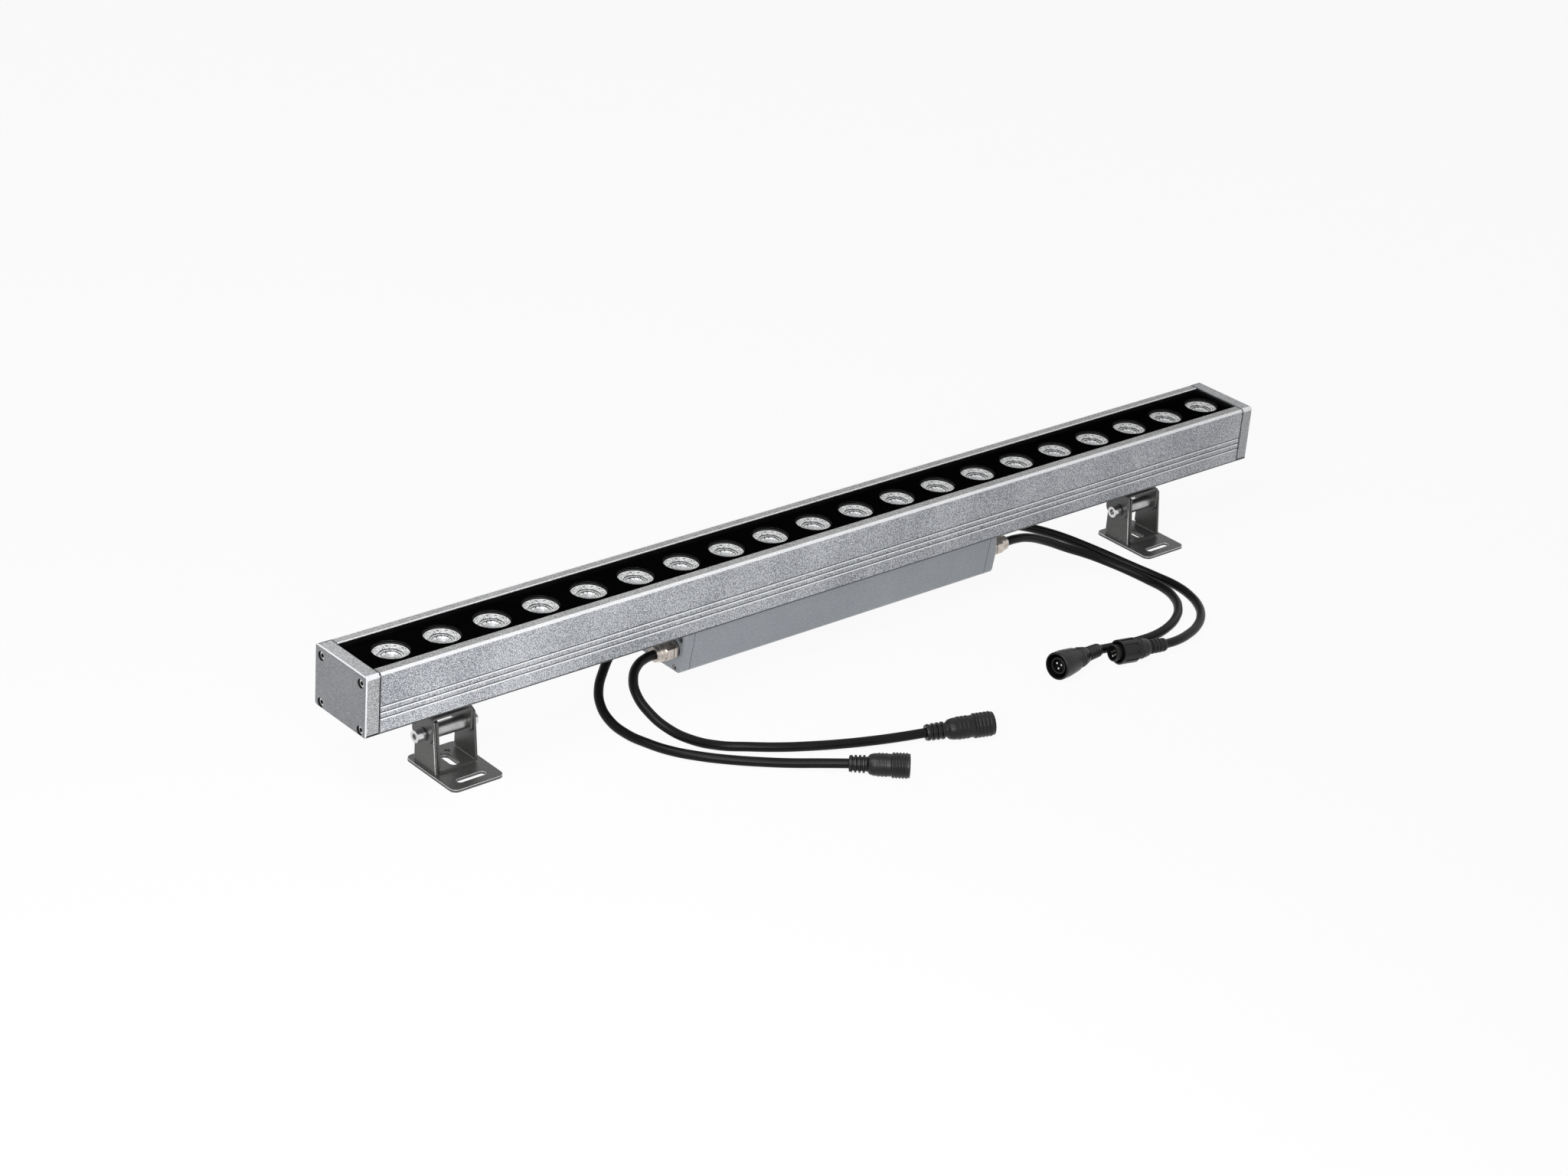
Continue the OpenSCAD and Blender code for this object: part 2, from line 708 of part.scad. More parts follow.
module lens_shape() {
    step1 = opening_r * step_shares[0];
    step2 = opening_r * step_shares[1];
    rotate_extrude() polygon(concat(
        [[0, lens_low + lens_pocket_h], [led_size * pocket_shares[0], lens_low + lens_pocket_h],
         [led_size * pocket_shares[1], lens_low]],
        [for (i = [0 : wall_steps]) lens_wall(i / wall_steps)],
        [[flange_r, lens_z - flange_h], [flange_r, lens_z]],
        [for (i = [0 : wall_steps]) lens_bowl(i / wall_steps, step1)],
        [[step1, bowl_z - lens_step_h], [step2, bowl_z - lens_step_h],
         [step2, bowl_z - 2 * lens_step_h], [lens_well_r, bowl_z - 2 * lens_step_h],
         [lens_well_r, lens_z - lens_well_h], [0, lens_z - lens_well_h]]
    ));
}

module lenses() {
    color("white") lamp() lens_places() lens_shape();
}

module lens_seals() {
    color("gray") lamp() lens_places() translate([0, 0, lens_z]) difference() {
        cylinder(h = lens_seal_t, r = flange_r);
        translate([0, 0, -over]) cylinder(h = lens_seal_t + 2 * over, r = opening_r + slip);
    }
}

// Board screws stand midway between two lenses, spread evenly along the row
module board_screw_places() {
    for (i = [0 : board_screw_count - 1]) {
        lens = round((i + key_share) * (lens_count - 1) / board_screw_count - key_share);
        translate([-half_len + lens_first + (lens + key_share) * lens_pitch, 0,
            shelf_z + led_board_t - board_screw_len]) children();
    }
}

module led_board() {
    long = inner_len - 2 * led_board_gap;
    color("whitesmoke") lamp() difference() {
        translate([-long / 2, -led_board_w / 2, shelf_z]) cube([long, led_board_w, led_board_t]);
        board_screw_places() cylinder(h = 2 * board_screw_len, r = board_screw_r + hole_clear);
        wire_places() translate([0, 0, shelf_z - over])
            cylinder(h = led_board_t + 2 * over, r = wire_r + hole_clear);
    }
}

module led_chips() {
    color("khaki") lamp() lens_places() translate([0, 0, shelf_z + led_board_t]) {
        translate([-led_size / 2, -led_size / 2, 0]) cube([led_size, led_size, led_base_h]);
        translate([0, 0, led_base_h]) intersection() {
            translate([0, 0, -led_dome_r / 2]) sphere(led_dome_r);
            cylinder(h = led_dome_r, r = led_dome_r);
        }
    }
}

module board_screws() {
    color("silver") lamp() board_screw_places() translate([0, 0, board_screw_len])
        mirror([0, 0, 1]) pan_screw(board_screw_r, board_screw_len, small_head_r, small_head_h);
}

// Section of the driver box in Y and Z, sloping in towards its rounded lower edges
module box_outline(inset = 0) {
    shrink = inset / cos(box_slope);
    top = box_top;
    low = -box_h + inset;
    r = max(box_low_r - inset, inset);
    h_top = box_half_top - shrink;
    h_low = box_half_low - shrink + inset * tan(box_slope);
    // Centre of the rounded edge, at r from the floor and from the sloping side
    cy = h_low - r * (1 - sin(box_slope)) / cos(box_slope);
    side_y = cy + r * cos(box_slope);
    side_z = low + r - r * sin(box_slope);
    polygon([[-h_top, top], [-side_y, side_z], [-cy, low], [cy, low], [side_y, side_z], [h_top, top]]);
    for (side = [-1, 1]) translate([side * cy, low + r]) circle(r);
}

box_screws = [
    [-box_screw_top_y, -box_screw_top_z], [box_screw_top_y, -box_screw_top_z],
    [-box_screw_low_y, -box_screw_low_z], [box_screw_low_y, -box_screw_low_z]
];

module at_box_screws() {
    for (p = box_screws) translate(p) children();
}

// Two rails on each side wall hold the driver board between them
module board_rails() {
    reach = driver_board_w / 2 - rail_reach;
    for (side = [-1, 1], z = [driver_board_z - rail_t - slip, driver_board_z + driver_board_t + slip])
        translate([side > 0 ? reach : -reach - box_half_top, z]) square([box_half_top, rail_t]);
}

// A boss round each screw port, joined to the nearer wall
module port_bosses() {
    for (p = box_screws) translate(p) {
        circle(box_boss_r);
        deep = p[1] < -box_h / 2 ? -box_h - p[1] : box_top - p[1];
        translate([-box_boss_r, min(deep, 0)]) square([2 * box_boss_r, abs(deep)]);
    }
}

module box_section() {
    difference() {
        box_outline();
        difference() {
            intersection() {
                box_outline(box_wall);
                block(half_w, -box_h, box_top - box_wall);
            }
            board_rails();
            port_bosses();
        }
        at_box_screws() circle(box_port_r);
    }
}

module fixing_places() {
    for (x = [-fix_screw_x, fix_screw_x], y = [-fix_screw_y, fix_screw_y]) translate([x, y, 0]) children();
}

module wire_places() {
    for (side = [-1, 1]) translate([side * nipple_bore_r * key_share, 0, 0]) children();
}

module driver_box() {
    color("lightslategray") lamp() difference() {
        along_x(-box_inner_len / 2, box_inner_len) box_section();
        fixing_places() translate([0, 0, -box_h / 2])
            cylinder(h = box_h / 2 + over, r = fix_screw_r + hole_clear);
        translate([0, 0, -box_h / 2]) cylinder(h = box_h / 2 + over, r = nipple_r + hole_clear);
    }
}

module driver_pad() {
    long = box_len - 2 * box_cap_r;
    color("black") lamp() difference() {
        translate([-long / 2, -box_half_top + box_wall, -pad_t])
            cube([long, 2 * (box_half_top - box_wall), pad_t]);
        fixing_places() translate([0, 0, -box_h / 2]) cylinder(h = box_h, r = fix_screw_r + hole_clear);
        translate([0, 0, -box_h / 2]) cylinder(h = box_h, r = nipple_r + hole_clear);
    }
}

// Left driver cap: its upright edges are rounded along the slope of the sides
module driver_cap_shape() {
    x0 = -box_len / 2;
    reach = 2 * box_h;
    difference() {
        intersection() {
            along_x(x0, box_cap_t) box_outline();
            for_each_side() translate([0, -box_half_top, box_top]) rotate([-box_slope, 0, 0])
                translate([0, 0, -reach / 2]) linear_extrude(reach) {
                    translate([x0 + box_cap_r, 0]) square([box_len, 2 * box_len]);
                    translate([x0, box_cap_r]) square([box_len, 2 * box_len]);
                    translate([x0 + box_cap_r, box_cap_r]) circle(box_cap_r);
                }
            translate([0, half_w + over, 0]) rotate([90, 0, 0]) linear_extrude(body_w + 2 * over) {
                translate([x0 + box_cap_r / 2, -box_h]) square([box_len, box_h]);
                translate([x0, -box_h + box_cap_r / 2]) square([box_len, box_h]);
                translate([x0 + box_cap_r / 2, -box_h + box_cap_r / 2]) circle(box_cap_r / 2);
            }
        }
        along_x(x0 - over, box_cap_t + 2 * over) at_box_screws() circle(box_port_r);
        along_x(x0 - over, box_head_h + head_clear + over) at_box_screws()
            circle(box_head_r + head_clear);
        for (y = [-gland_y, gland_y]) along_x(x0 - over, box_cap_t + 2 * over)
            translate([y, gland_z]) circle(gland_bore_r);
    }
}

// Space that both its child and the child's mirror image share
module for_each_side() {
    intersection() {
        children();
        mirror([0, 1, 0]) children();
    }
}

module driver_cap_left() {
    color("slategray") lamp() driver_cap_shape();
}

module driver_cap_right() {
    color("slategray") lamp() mirror([1, 0, 0]) driver_cap_shape();
}

module driver_gaskets() {
    color("black") lamp() both_ends() along_x(-box_len / 2 + box_cap_t, box_gasket_t) difference() {
        box_outline(gasket_inset);
        intersection() {
            box_outline(2 * box_wall);
            block(box_screw_low_y - box_boss_r, -box_h, box_top - 2 * box_wall);
        }
        at_box_screws() circle(box_port_r);
    }
}

module driver_cap_screws() {
    color("dimgray") lamp() both_ends()
        for (p = box_screws) translate([-box_len / 2 + box_head_h + head_clear, p[0], p[1]])
            socket_screw(box_screw_r, box_cap_t + box_gasket_t + box_port_len - box_head_h,
                box_head_r, box_head_h, box_head_r);
}

module driver_fixing_screws() {
    color("silver") lamp() fixing_places() translate([0, 0, box_top - box_wall])
        pan_screw(fix_screw_r, pad_t + box_wall + base_t + over, fix_head_r, fix_head_h);
}

module driver_board() {
    long = box_inner_len - 2 * box_wall;
    color("darkgreen") lamp() difference() {
        translate([-long / 2, -driver_board_w / 2, driver_board_z])
            cube([long, driver_board_w, driver_board_t]);
        wire_places() translate([0, 0, driver_board_z - over])
            cylinder(h = driver_board_t + 2 * over, r = wire_r + hole_clear);
    }
}

// Places of the parts on the driver board, as shares of its length and width
coil_shares = [-0.2, 0];
cap_shares = [[-0.36, 0.2], [-0.36, -0.2], [0.3, 0.22], [0.3, -0.22]];
block_shares = [[-0.28, 0], [0.12, 0.15], [0.38, 0]];
coil_size = [34, 30, 17];
cap_r = 6.2;
cap_h = 16;
block_size = [12, 18, 11];

module driver_components() {
    long = box_inner_len - 2 * box_wall;
    top = driver_board_z + driver_board_t;
    color("darkorange") lamp() {
        translate([coil_shares[0] * long - coil_size[0] / 2, -coil_size[1] / 2, top]) cube(coil_size);
        for (p = cap_shares) translate([p[0] * long, p[1] * driver_board_w, top])
            cylinder(h = cap_h, r = cap_r);
        for (p = block_shares) translate([p[0] * long - block_size[0] / 2,
            p[1] * driver_board_w - block_size[1] / 2, top]) cube(block_size);
    }
}

module wire_nipple() {
    low = box_top - box_wall - nipple_hex_h;
    top = base_t + nipple_hex_h + over;
    color("silver") lamp() difference() {
        union() {
            translate([0, 0, low]) linear_extrude(nipple_hex_h) hexagon(nipple_key);
            translate([0, 0, low]) cylinder(h = top - low, r = nipple_r);
        }
        translate([0, 0, low - over]) cylinder(h = box_h, r = nipple_bore_r);
    }
}

module nipple_nut() {
    color("silver") lamp() translate([0, 0, base_t]) linear_extrude(nipple_hex_h) difference() {
        hexagon(nipple_key);
        circle(nipple_r + hole_clear / 2);
    }
}

module supply_wires() {
    low = driver_board_z - rail_t;
    color("firebrick") lamp() wire_places() translate([0, 0, low])
        cylinder(h = shelf_z + led_board_t - low, r = wire_r);
}

module gland_places() {
    both_ends() for (y = [-gland_y, gland_y]) translate([box_len / 2, y, gland_z]) lay_x() children();
}

// Threaded body with a hexagon outside the cap
module gland_bodies() {
    color("rosybrown") lamp() gland_places() difference() {
        union() {
            translate([0, 0, -box_cap_t]) cylinder(h = box_cap_t + gland_ring_t + over, r = gland_thread_r);
            translate([0, 0, gland_ring_t]) linear_extrude(gland_hex_h) hexagon(gland_key);
            translate([0, 0, gland_ring_t + gland_hex_h])
                cylinder(h = gland_thread_len, r = gland_thread_r);
        }
        translate([0, 0, -2 * box_cap_t]) cylinder(h = 4 * box_cap_t, r = gland_thread_r - gland_wall);
    }
}
gland_wall = 1.2;

// Dome nut with flats, ribbed rings and a narrower mouth round the cord
module gland_nuts() {
    hex_len = gland_nut_len * nut_shares[0];
    neck = gland_nut_len * nut_shares[1];
    color("tan") lamp() gland_places() translate([0, 0, gland_ring_t + gland_hex_h]) difference() {
        union() {
            translate([0, 0, nut_lift]) linear_extrude(hex_len) hexagon(gland_key);
            rotate_extrude() polygon([
                [0, nut_lift], [gland_dome_r, nut_lift], [gland_dome_r, neck],
                [gland_dome_r * nut_shares[2], neck + nut_lift],
                [gland_dome_r * nut_shares[2], gland_nut_len - nut_lift],
                [gland_dome_r * nut_shares[3], gland_nut_len], [0, gland_nut_len]
            ]);
        }
        translate([0, 0, -over]) cylinder(h = gland_thread_len + grip_gap + over, r = gland_bore_r);
        translate([0, 0, -over]) cylinder(h = gland_nut_len + 2 * over, r = cord_r + grip_gap);
    }
}
// Shares of the dome nut: end of its flats, its neck, the neck's radius and the mouth's radius
nut_shares = [0.42, 0.72, 0.9, 0.78];
nut_lift = 0.6;

// Sealing ring under each hexagon
module gland_seals() {
    color("black") lamp() gland_places() difference() {
        cylinder(h = gland_ring_t, r = gland_key / 2);
        translate([0, 0, -over]) cylinder(h = gland_ring_t + 2 * over, r = gland_bore_r);
    }
}

// A tube through the points, with its end rings square to the given directions
function unit(v) = v / norm(v);
function heading(turn, rise) = [cos(rise) * cos(turn), cos(rise) * sin(turn), sin(rise)];
function ring_dir(pts, i, start, end) = i == 0 ? start
    : i == len(pts) - 1 ? end : unit(pts[i + 1] - pts[i - 1]);
function ring(p, dir) = let (side = unit(cross([0, 0, 1], dir)), up = cross(dir, side))
    [for (k = [0 : cord_sides - 1]) let (a = (k + key_share) * 360 / cord_sides)
        p + cord_r * (cos(a) * side + sin(a) * up)];

module cord(pts, start, end) {
    last = len(pts) - 1;
    points = [for (i = [0 : last]) each ring(pts[i], ring_dir(pts, i, start, end))];
    sides = [for (i = [0 : last - 1], k = [0 : cord_sides - 1])
        let (a = i * cord_sides + k, b = i * cord_sides + (k + 1) % cord_sides)
        [a, a + cord_sides, b + cord_sides, b]];
    caps = [[for (k = [0 : cord_sides - 1]) k],
        [for (k = [cord_sides - 1 : -1 : 0]) last * cord_sides + k]];
    polyhedron(points, concat(sides, caps));
}

function gland_end(side_x, side_y) = [side_x * gland_end_x, lamp_y + side_y * gland_y, body_z + gland_z];

module cord_1() {
    color([0.06, 0.06, 0.06]) cord(concat([gland_end(-1, -1)], route_1, [socket_1_at]),
        [-1, 0, 0], heading(socket_1_turn, socket_1_rise));
}

module cord_2() {
    color([0.06, 0.06, 0.06]) cord(concat([gland_end(-1, 1)], route_2, [socket_2_at]),
        [-1, 0, 0], heading(socket_2_turn, socket_2_rise));
}

module cord_3() {
    color([0.06, 0.06, 0.06]) cord(concat([gland_end(1, -1)], route_3, [plug_a_at]),
        [1, 0, 0], heading(plug_a_turn, plug_a_rise));
}

module cord_4() {
    color([0.06, 0.06, 0.06]) cord(concat([gland_end(1, 1)], route_4, [plug_b_at]),
        [1, 0, 0], heading(plug_b_turn, plug_b_rise));
}

// Lays a connector drawn along Z on the ground, with its back end at a cord's end
module lie(at, turn, rise) {
    translate(at) rotate([0, -rise, turn]) lay_x() children();
}

function scaled(shares, long, r) = [for (p = shares) [p[1] * r, p[0] * long]];

// Socket: ribbed strain relief, ringed body and a threaded front with an open face
module socket_shape(long) {
    thread_z = thread_share * long;
    step = (long - thread_z - face_wall) / thread_turns;
    difference() {
        rotate_extrude() polygon(concat(
            [[0, 0]], scaled(boot_shares, long, socket_r), scaled(socket_shares, long, socket_r),
            [for (i = [0 : thread_turns - 1], k = [0 : 3])
                [socket_r - (k == 0 || k == 3 ? thread_depth : 0),
                 thread_z + step * (i + tooth_shares[k])]],
            [[socket_r - thread_depth, long], [0, long]]
        ));
        translate([0, 0, long - face_depth])
            cylinder(h = face_depth + over, r = socket_r - thread_depth - face_wall);
    }
}
// Shares of one thread's pitch: foot, crest, crest and foot
tooth_shares = [0.1, 0.35, 0.65, 0.9];

// Contact carrier inside a socket, with four sunk contacts
module socket_insert_shape(long) {
    translate([0, 0, long - face_depth]) difference() {
        cylinder(h = insert_len, r = socket_r - thread_depth - face_wall - slip);
        for (a = [0 : 90 : 270]) rotate([0, 0, a]) translate([pin_ring_r, 0, over / 2])
            cylinder(h = insert_len, r = pin_r);
    }
}

module socket_1() {
    color([0.1, 0.1, 0.1]) lie(socket_1_at, socket_1_turn, socket_1_rise) socket_shape(socket_len[0]);
}

module socket_2() {
    color([0.1, 0.1, 0.1]) lie(socket_2_at, socket_2_turn, socket_2_rise) socket_shape(socket_len[1]);
}

module socket_insert_1() {
    color("dimgray") lie(socket_1_at, socket_1_turn, socket_1_rise) socket_insert_shape(socket_len[0]);
}

module socket_insert_2() {
    color("dimgray") lie(socket_2_at, socket_2_turn, socket_2_rise) socket_insert_shape(socket_len[1]);
}

// Plug: ribbed strain relief, ringed body and a contact tube inside the coupling ring
module plug_shape(long) {
    neck = plug_neck_share * long;
    difference() {
        rotate_extrude() polygon(concat(
            [[0, 0]], scaled(boot_shares, long, plug_r), scaled(plug_shares, long, plug_r),
            [[plug_tube_r, neck], [plug_tube_r, long], [0, long]]
        ));
        translate([0, 0, long - plug_depth])
            cylinder(h = plug_depth + over, r = plug_tube_r - plug_tube_wall);
    }
}

// Contact carrier inside a plug, with its pins
module plug_insert_shape(long, pins) {
    translate([0, 0, long - plug_depth]) {
        cylinder(h = insert_len, r = plug_tube_r - plug_tube_wall - slip);
        for (i = [0 : pins - 1]) rotate([0, 0, i * 360 / pins]) translate([pin_ring_r * pin_share, 0, 0])
            cylinder(h = pin_len, r = pin_r);
    }
}
pin_share = 0.8;

module plug_a() {
    color([0.1, 0.1, 0.1]) lie(plug_a_at, plug_a_turn, plug_a_rise) plug_shape(plug_len[0]);
}

module plug_b() {
    color([0.1, 0.1, 0.1]) lie(plug_b_at, plug_b_turn, plug_b_rise) plug_shape(plug_len[1]);
}

module plug_insert_a() {
    color("dimgray") lie(plug_a_at, plug_a_turn, plug_a_rise) plug_insert_shape(plug_len[0], 3);
}

module plug_insert_b() {
    color("dimgray") lie(plug_b_at, plug_b_turn, plug_b_rise) plug_insert_shape(plug_len[1], 4);
}

// Wide ring that flares towards the face, round the contact tube of the first plug
module coupling_ring_a() {
    z0 = plug_neck_share * plug_len[0] + ring_clear;
    neck_r = plug_tube_r + ring_clear;
    color([0.12, 0.12, 0.12]) lie(plug_a_at, plug_a_turn, plug_a_rise) translate([0, 0, z0])
        rotate_extrude() polygon([
            [neck_r, 0], [plug_r + ring_wall / 2, 0], [plug_r + ring_wall, ring_wall],
            [ring_a_r, ring_a_len * flare_share], [ring_a_r, ring_a_len - ring_wall / 2],
            [ring_a_r - ring_wall / 2, ring_a_len], [ring_a_r - ring_wall, ring_a_len],
            [ring_a_r - ring_wall, ring_seat_t + ring_wall], [neck_r, ring_seat_t]
        ]);
}
flare_share = 0.6;

// Grip ring with flats round its edge, on the second plug
module coupling_ring_b() {
    z0 = plug_neck_share * plug_len[1] + ring_clear;
    color([0.12, 0.12, 0.12]) lie(plug_b_at, plug_b_turn, plug_b_rise) translate([0, 0, z0]) difference() {
        cylinder(h = ring_b_len, r = ring_b_r);
        for (i = [0 : grip_count - 1]) rotate([0, 0, i * 360 / grip_count])
            translate([ring_b_r - grip_depth, -ring_b_r / grip_count, ring_wall])
                cube([ring_b_r, 2 * ring_b_r / grip_count, ring_b_len - 2 * ring_wall]);
        translate([0, 0, -over]) cylinder(h = ring_b_len + 2 * over, r = plug_tube_r + ring_clear);
        translate([0, 0, ring_seat_t]) cylinder(h = ring_b_len, r = ring_b_r - ring_wall);
    }
}

// Brackets. Their pieces are drawn with X from the cheek's outer face and Y and Z from the bolt
module bracket(side) {
    translate([side * foot_x + bracket_x0, lamp_y, bolt_z]) children();
}

module both_hangers() {
    for (side = [-1, 1]) translate([side * foot_x + bracket_x0, 0, 0]) children();
}

module hanger_screw_places() {
    for (x = [-1, 1]) translate([hang_mid + x * hang_screw_gap / 2, 0, 0]) children();
}

// Section of a strip bent into an open U: width over the legs, thickness and length of a leg
module bent_strip(width, t, leg, r_in) {
    difference() {
        round_bottom(0, width, 0, leg, r_in + t);
        round_bottom(t, width - t, t, leg + over, r_in);
    }
}

module round_bottom(x0, x1, z0, z1, r) {
    translate([x0 + r, z0]) square([x1 - x0 - 2 * r, z1 - z0]);
    translate([x0, z0 + r]) square([x1 - x0, z1 - z0 - r]);
    for (x = [x0 + r, x1 - r]) translate([x, z0 + r]) circle(r);
}

// Outline of an ear in Y and Z, with two round lower corners, up to the web
module ear_outline() {
    translate([-ear_front, 0]) square([ear_front + ear_back, web_rise]);
    translate([-ear_front + ear_drop, -ear_drop])
        square([ear_front + ear_back - 2 * ear_drop, ear_drop]);
    for (y = [-ear_front + ear_drop, ear_back - ear_drop]) translate([y, 0]) circle(ear_drop);
}

// Hanger: a bent strap with its web under a block and two ears on the cross bolt
module hanger_shape() {
    wide = ear2_x + ear_t - ear1_x;
    difference() {
        intersection() {
            translate([0, ear_back, 0]) rotate([90, 0, 0]) linear_extrude(ear_front + ear_back)
                translate([ear1_x, web_rise]) mirror([0, 1])
                    bent_strip(wide, ear_t, web_rise + ear_drop, bend_r);
            along_x(ear1_x, wide) ear_outline();
        }
        translate([ear1_x - over, 0, 0]) lay_x()
            cylinder(h = wide + 2 * over, r = bolt_hole_r);
        hanger_screw_places() cylinder(h = hang_h, r = hang_screw_r + hole_clear);
    }
}

module hanger_left() {
    color("dimgray") bracket(-1) hanger_shape();
}

module hanger_right() {
    color("dimgray") bracket(1) hanger_shape();
}

// Blocks that carry the hangers clear of the body
module hanger_blocks() {
    color("gray") lamp() both_hangers() difference() {
        translate([hang_mid - block_len / 2, -block_half, -block_h])
            cube([block_len, 2 * block_half, block_h]);
        hanger_screw_places() translate([0, 0, -block_h - over])
            cylinder(h = block_h + 2 * over, r = hang_screw_r + hole_clear);
    }
}

module hanger_screws() {
    color("silver") lamp() both_hangers() hanger_screw_places() translate([0, 0, -block_h - ear_t])
        pan_screw(hang_screw_r, hang_screw_len, hang_head_r, hang_head_h);
}

// Wall outline of the channel and the cheek in Y and Z: round at the top, leaning out at the front
module wall_outline() {
    low = foot_t - bolt_z;
    intersection() {
        polygon([
            [-wall_front - wall_lean, low], [wall_back, low], [wall_back, wall_top_r],
            [-wall_front, wall_top_r]
        ]);
        union() {
            circle(wall_top_r);
            translate([-wall_top_r, low]) square([2 * wall_top_r, -low]);
        }
    }
}

module foot_floor_holes(h) {
    mid_y = (floor_slot_back - floor_slot_front) / 2;
    low = -bolt_z - over;
    translate([foot_half - foot_side, mid_y, low]) linear_extrude(h) rotate(90)
        slot_shape(floor_slot_front + floor_slot_back, floor_slot_w);
    translate([foot_half - foot_side + peg_side, wall_back - 2 * peg_r, low])
        cylinder(h = h, r = peg_r);
}

module foot_plate_shape() {
    difference() {
        translate([0, 0, -bolt_z]) linear_extrude(foot_t) difference() {
            rounded_plate(-foot_side, foot_w - foot_side, -foot_front, foot_back, foot_r);
            translate([foot_half - foot_side, -foot_front + slot_edge]) slot_shape(slot_len, slot_w);
        }
        foot_floor_holes(foot_t + 2 * over);
    }
}

// Channel: two walls bent up from a floor, with a relief cut at each lower corner
module channel_shape() {
    low = foot_t - bolt_z;
    front = -wall_front - wall_lean;
    difference() {
        intersection() {
            along_x(wall1_x, channel_w) wall_outline();
            translate([0, wall_back + over, 0]) rotate([90, 0, 0])
                linear_extrude(wall_back - front + 2 * over)
                    translate([wall1_x, low])
                        bent_strip(channel_w, channel_t, wall_top_r - low, bend_r);
        }
        for (x = [wall1_x + channel_t, channel_end - channel_t], y = [front, wall_back])
            translate([x, y, low]) cylinder(h = 2 * (channel_t + relief), r = relief / 2, center = true);
        translate([-over, 0, 0]) lay_x() cylinder(h = channel_end + 2 * over, r = bolt_hole_r);
        foot_floor_holes(foot_t + channel_t + 2 * over);
    }
}

module cheek_shape() {
    difference() {
        along_x(0, channel_t) wall_outline();
        translate([-over, 0, 0]) lay_x() cylinder(h = channel_t + 2 * over, r = bolt_hole_r);
    }
}

module pivot_bolt_shape() {
    translate([ear1_x - spring_t, 0, 0])
        socket_screw(bolt_r, bolt_len, bolt_head_r, bolt_head_h, bolt_key);
}

module washer(r, t) {
    lay_x() difference() {
        cylinder(h = t, r = r);
        translate([0, 0, -over]) cylinder(h = t + 2 * over, r = bolt_hole_r);
    }
}

module pivot_washers_shape() {
    translate([ear1_x - spring_t, 0, 0]) washer(spring_r, spring_t);
    translate([channel_t, 0, 0]) washer(washer_r, cheek_gap);
    translate([ear2_x + ear_t, 0, 0]) washer(washer_r, ear_space);
    translate([channel_end, 0, 0]) washer(washer_r, washer_t);
}

module pivot_spacer_shape() {
    translate([spacer_x, 0, 0]) washer(spacer_r, ear2_x - ear_gap - spacer_x);
}

module pivot_nut_shape() {
    translate([channel_end + washer_t, 0, 0]) lay_x() linear_extrude(nut_h) difference() {
        hexagon(nut_key);
        circle(bolt_hole_r);
    }
}

module foot_plate_left() {
    color([0.35, 0.35, 0.35]) bracket(-1) foot_plate_shape();
}

module foot_plate_right() {
    color([0.35, 0.35, 0.35]) bracket(1) foot_plate_shape();
}

module channel_left() {
    color([0.33, 0.33, 0.33]) bracket(-1) channel_shape();
}

module channel_right() {
    color([0.33, 0.33, 0.33]) bracket(1) channel_shape();
}

module cheek_left() {
    color([0.37, 0.37, 0.37]) bracket(-1) cheek_shape();
}

module cheek_right() {
    color([0.37, 0.37, 0.37]) bracket(1) cheek_shape();
}

module pivot_bolt_left() {
    color("gainsboro") bracket(-1) pivot_bolt_shape();
}

module pivot_bolt_right() {
    color("gainsboro") bracket(1) pivot_bolt_shape();
}

module pivot_washers_left() {
    color("dimgray") bracket(-1) pivot_washers_shape();
}

module pivot_washers_right() {
    color("dimgray") bracket(1) pivot_washers_shape();
}

module pivot_spacer_left() {
    color("silver") bracket(-1) pivot_spacer_shape();
}

module pivot_spacer_right() {
    color("silver") bracket(1) pivot_spacer_shape();
}

module pivot_nut_left() {
    color("silver") bracket(-1) pivot_nut_shape();
}

module pivot_nut_right() {
    color("silver") bracket(1) pivot_nut_shape();
}

housing();
end_caps();
end_gaskets();
end_cap_screws();
lens_plate();
plate_seal();
lenses();
lens_seals();
led_board();
led_chips();
board_screws();
driver_box();
driver_pad();
driver_cap_left();
driver_cap_right();
driver_gaskets();
driver_cap_screws();
driver_fixing_screws();
driver_board();
driver_components();
wire_nipple();
nipple_nut();
supply_wires();
gland_bodies();
gland_nuts();
gland_seals();
cord_1();
cord_2();
cord_3();
cord_4();
socket_1();
socket_2();
plug_a();
plug_b();
socket_insert_1();
socket_insert_2();
plug_insert_a();
plug_insert_b();
coupling_ring_a();
coupling_ring_b();
hanger_left();
hanger_right();
hanger_blocks();
hanger_screws();
foot_plate_left();
channel_left();
cheek_left();
pivot_bolt_left();
pivot_washers_left();
pivot_spacer_left();
pivot_nut_left();
foot_plate_right();
channel_right();
cheek_right();
pivot_bolt_right();
pivot_washers_right();
pivot_spacer_right();
pivot_nut_right();
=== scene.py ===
"""Looks of a linear wall washer lamp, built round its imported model.

Each sub-assembly is a class that holds its sizes, makes its meshes and dresses them. Sizes are in
metres, in the model's own frame: X along the lamp, Y to the back, Z up, brackets on Z = 0.
"""

from __future__ import annotations

import json
import logging
import math
import random
from dataclasses import dataclass
from enum import Enum, IntEnum
from typing import Any, Callable, Iterable, Sequence

import bmesh
import bpy
from mathutils import Matrix, Vector

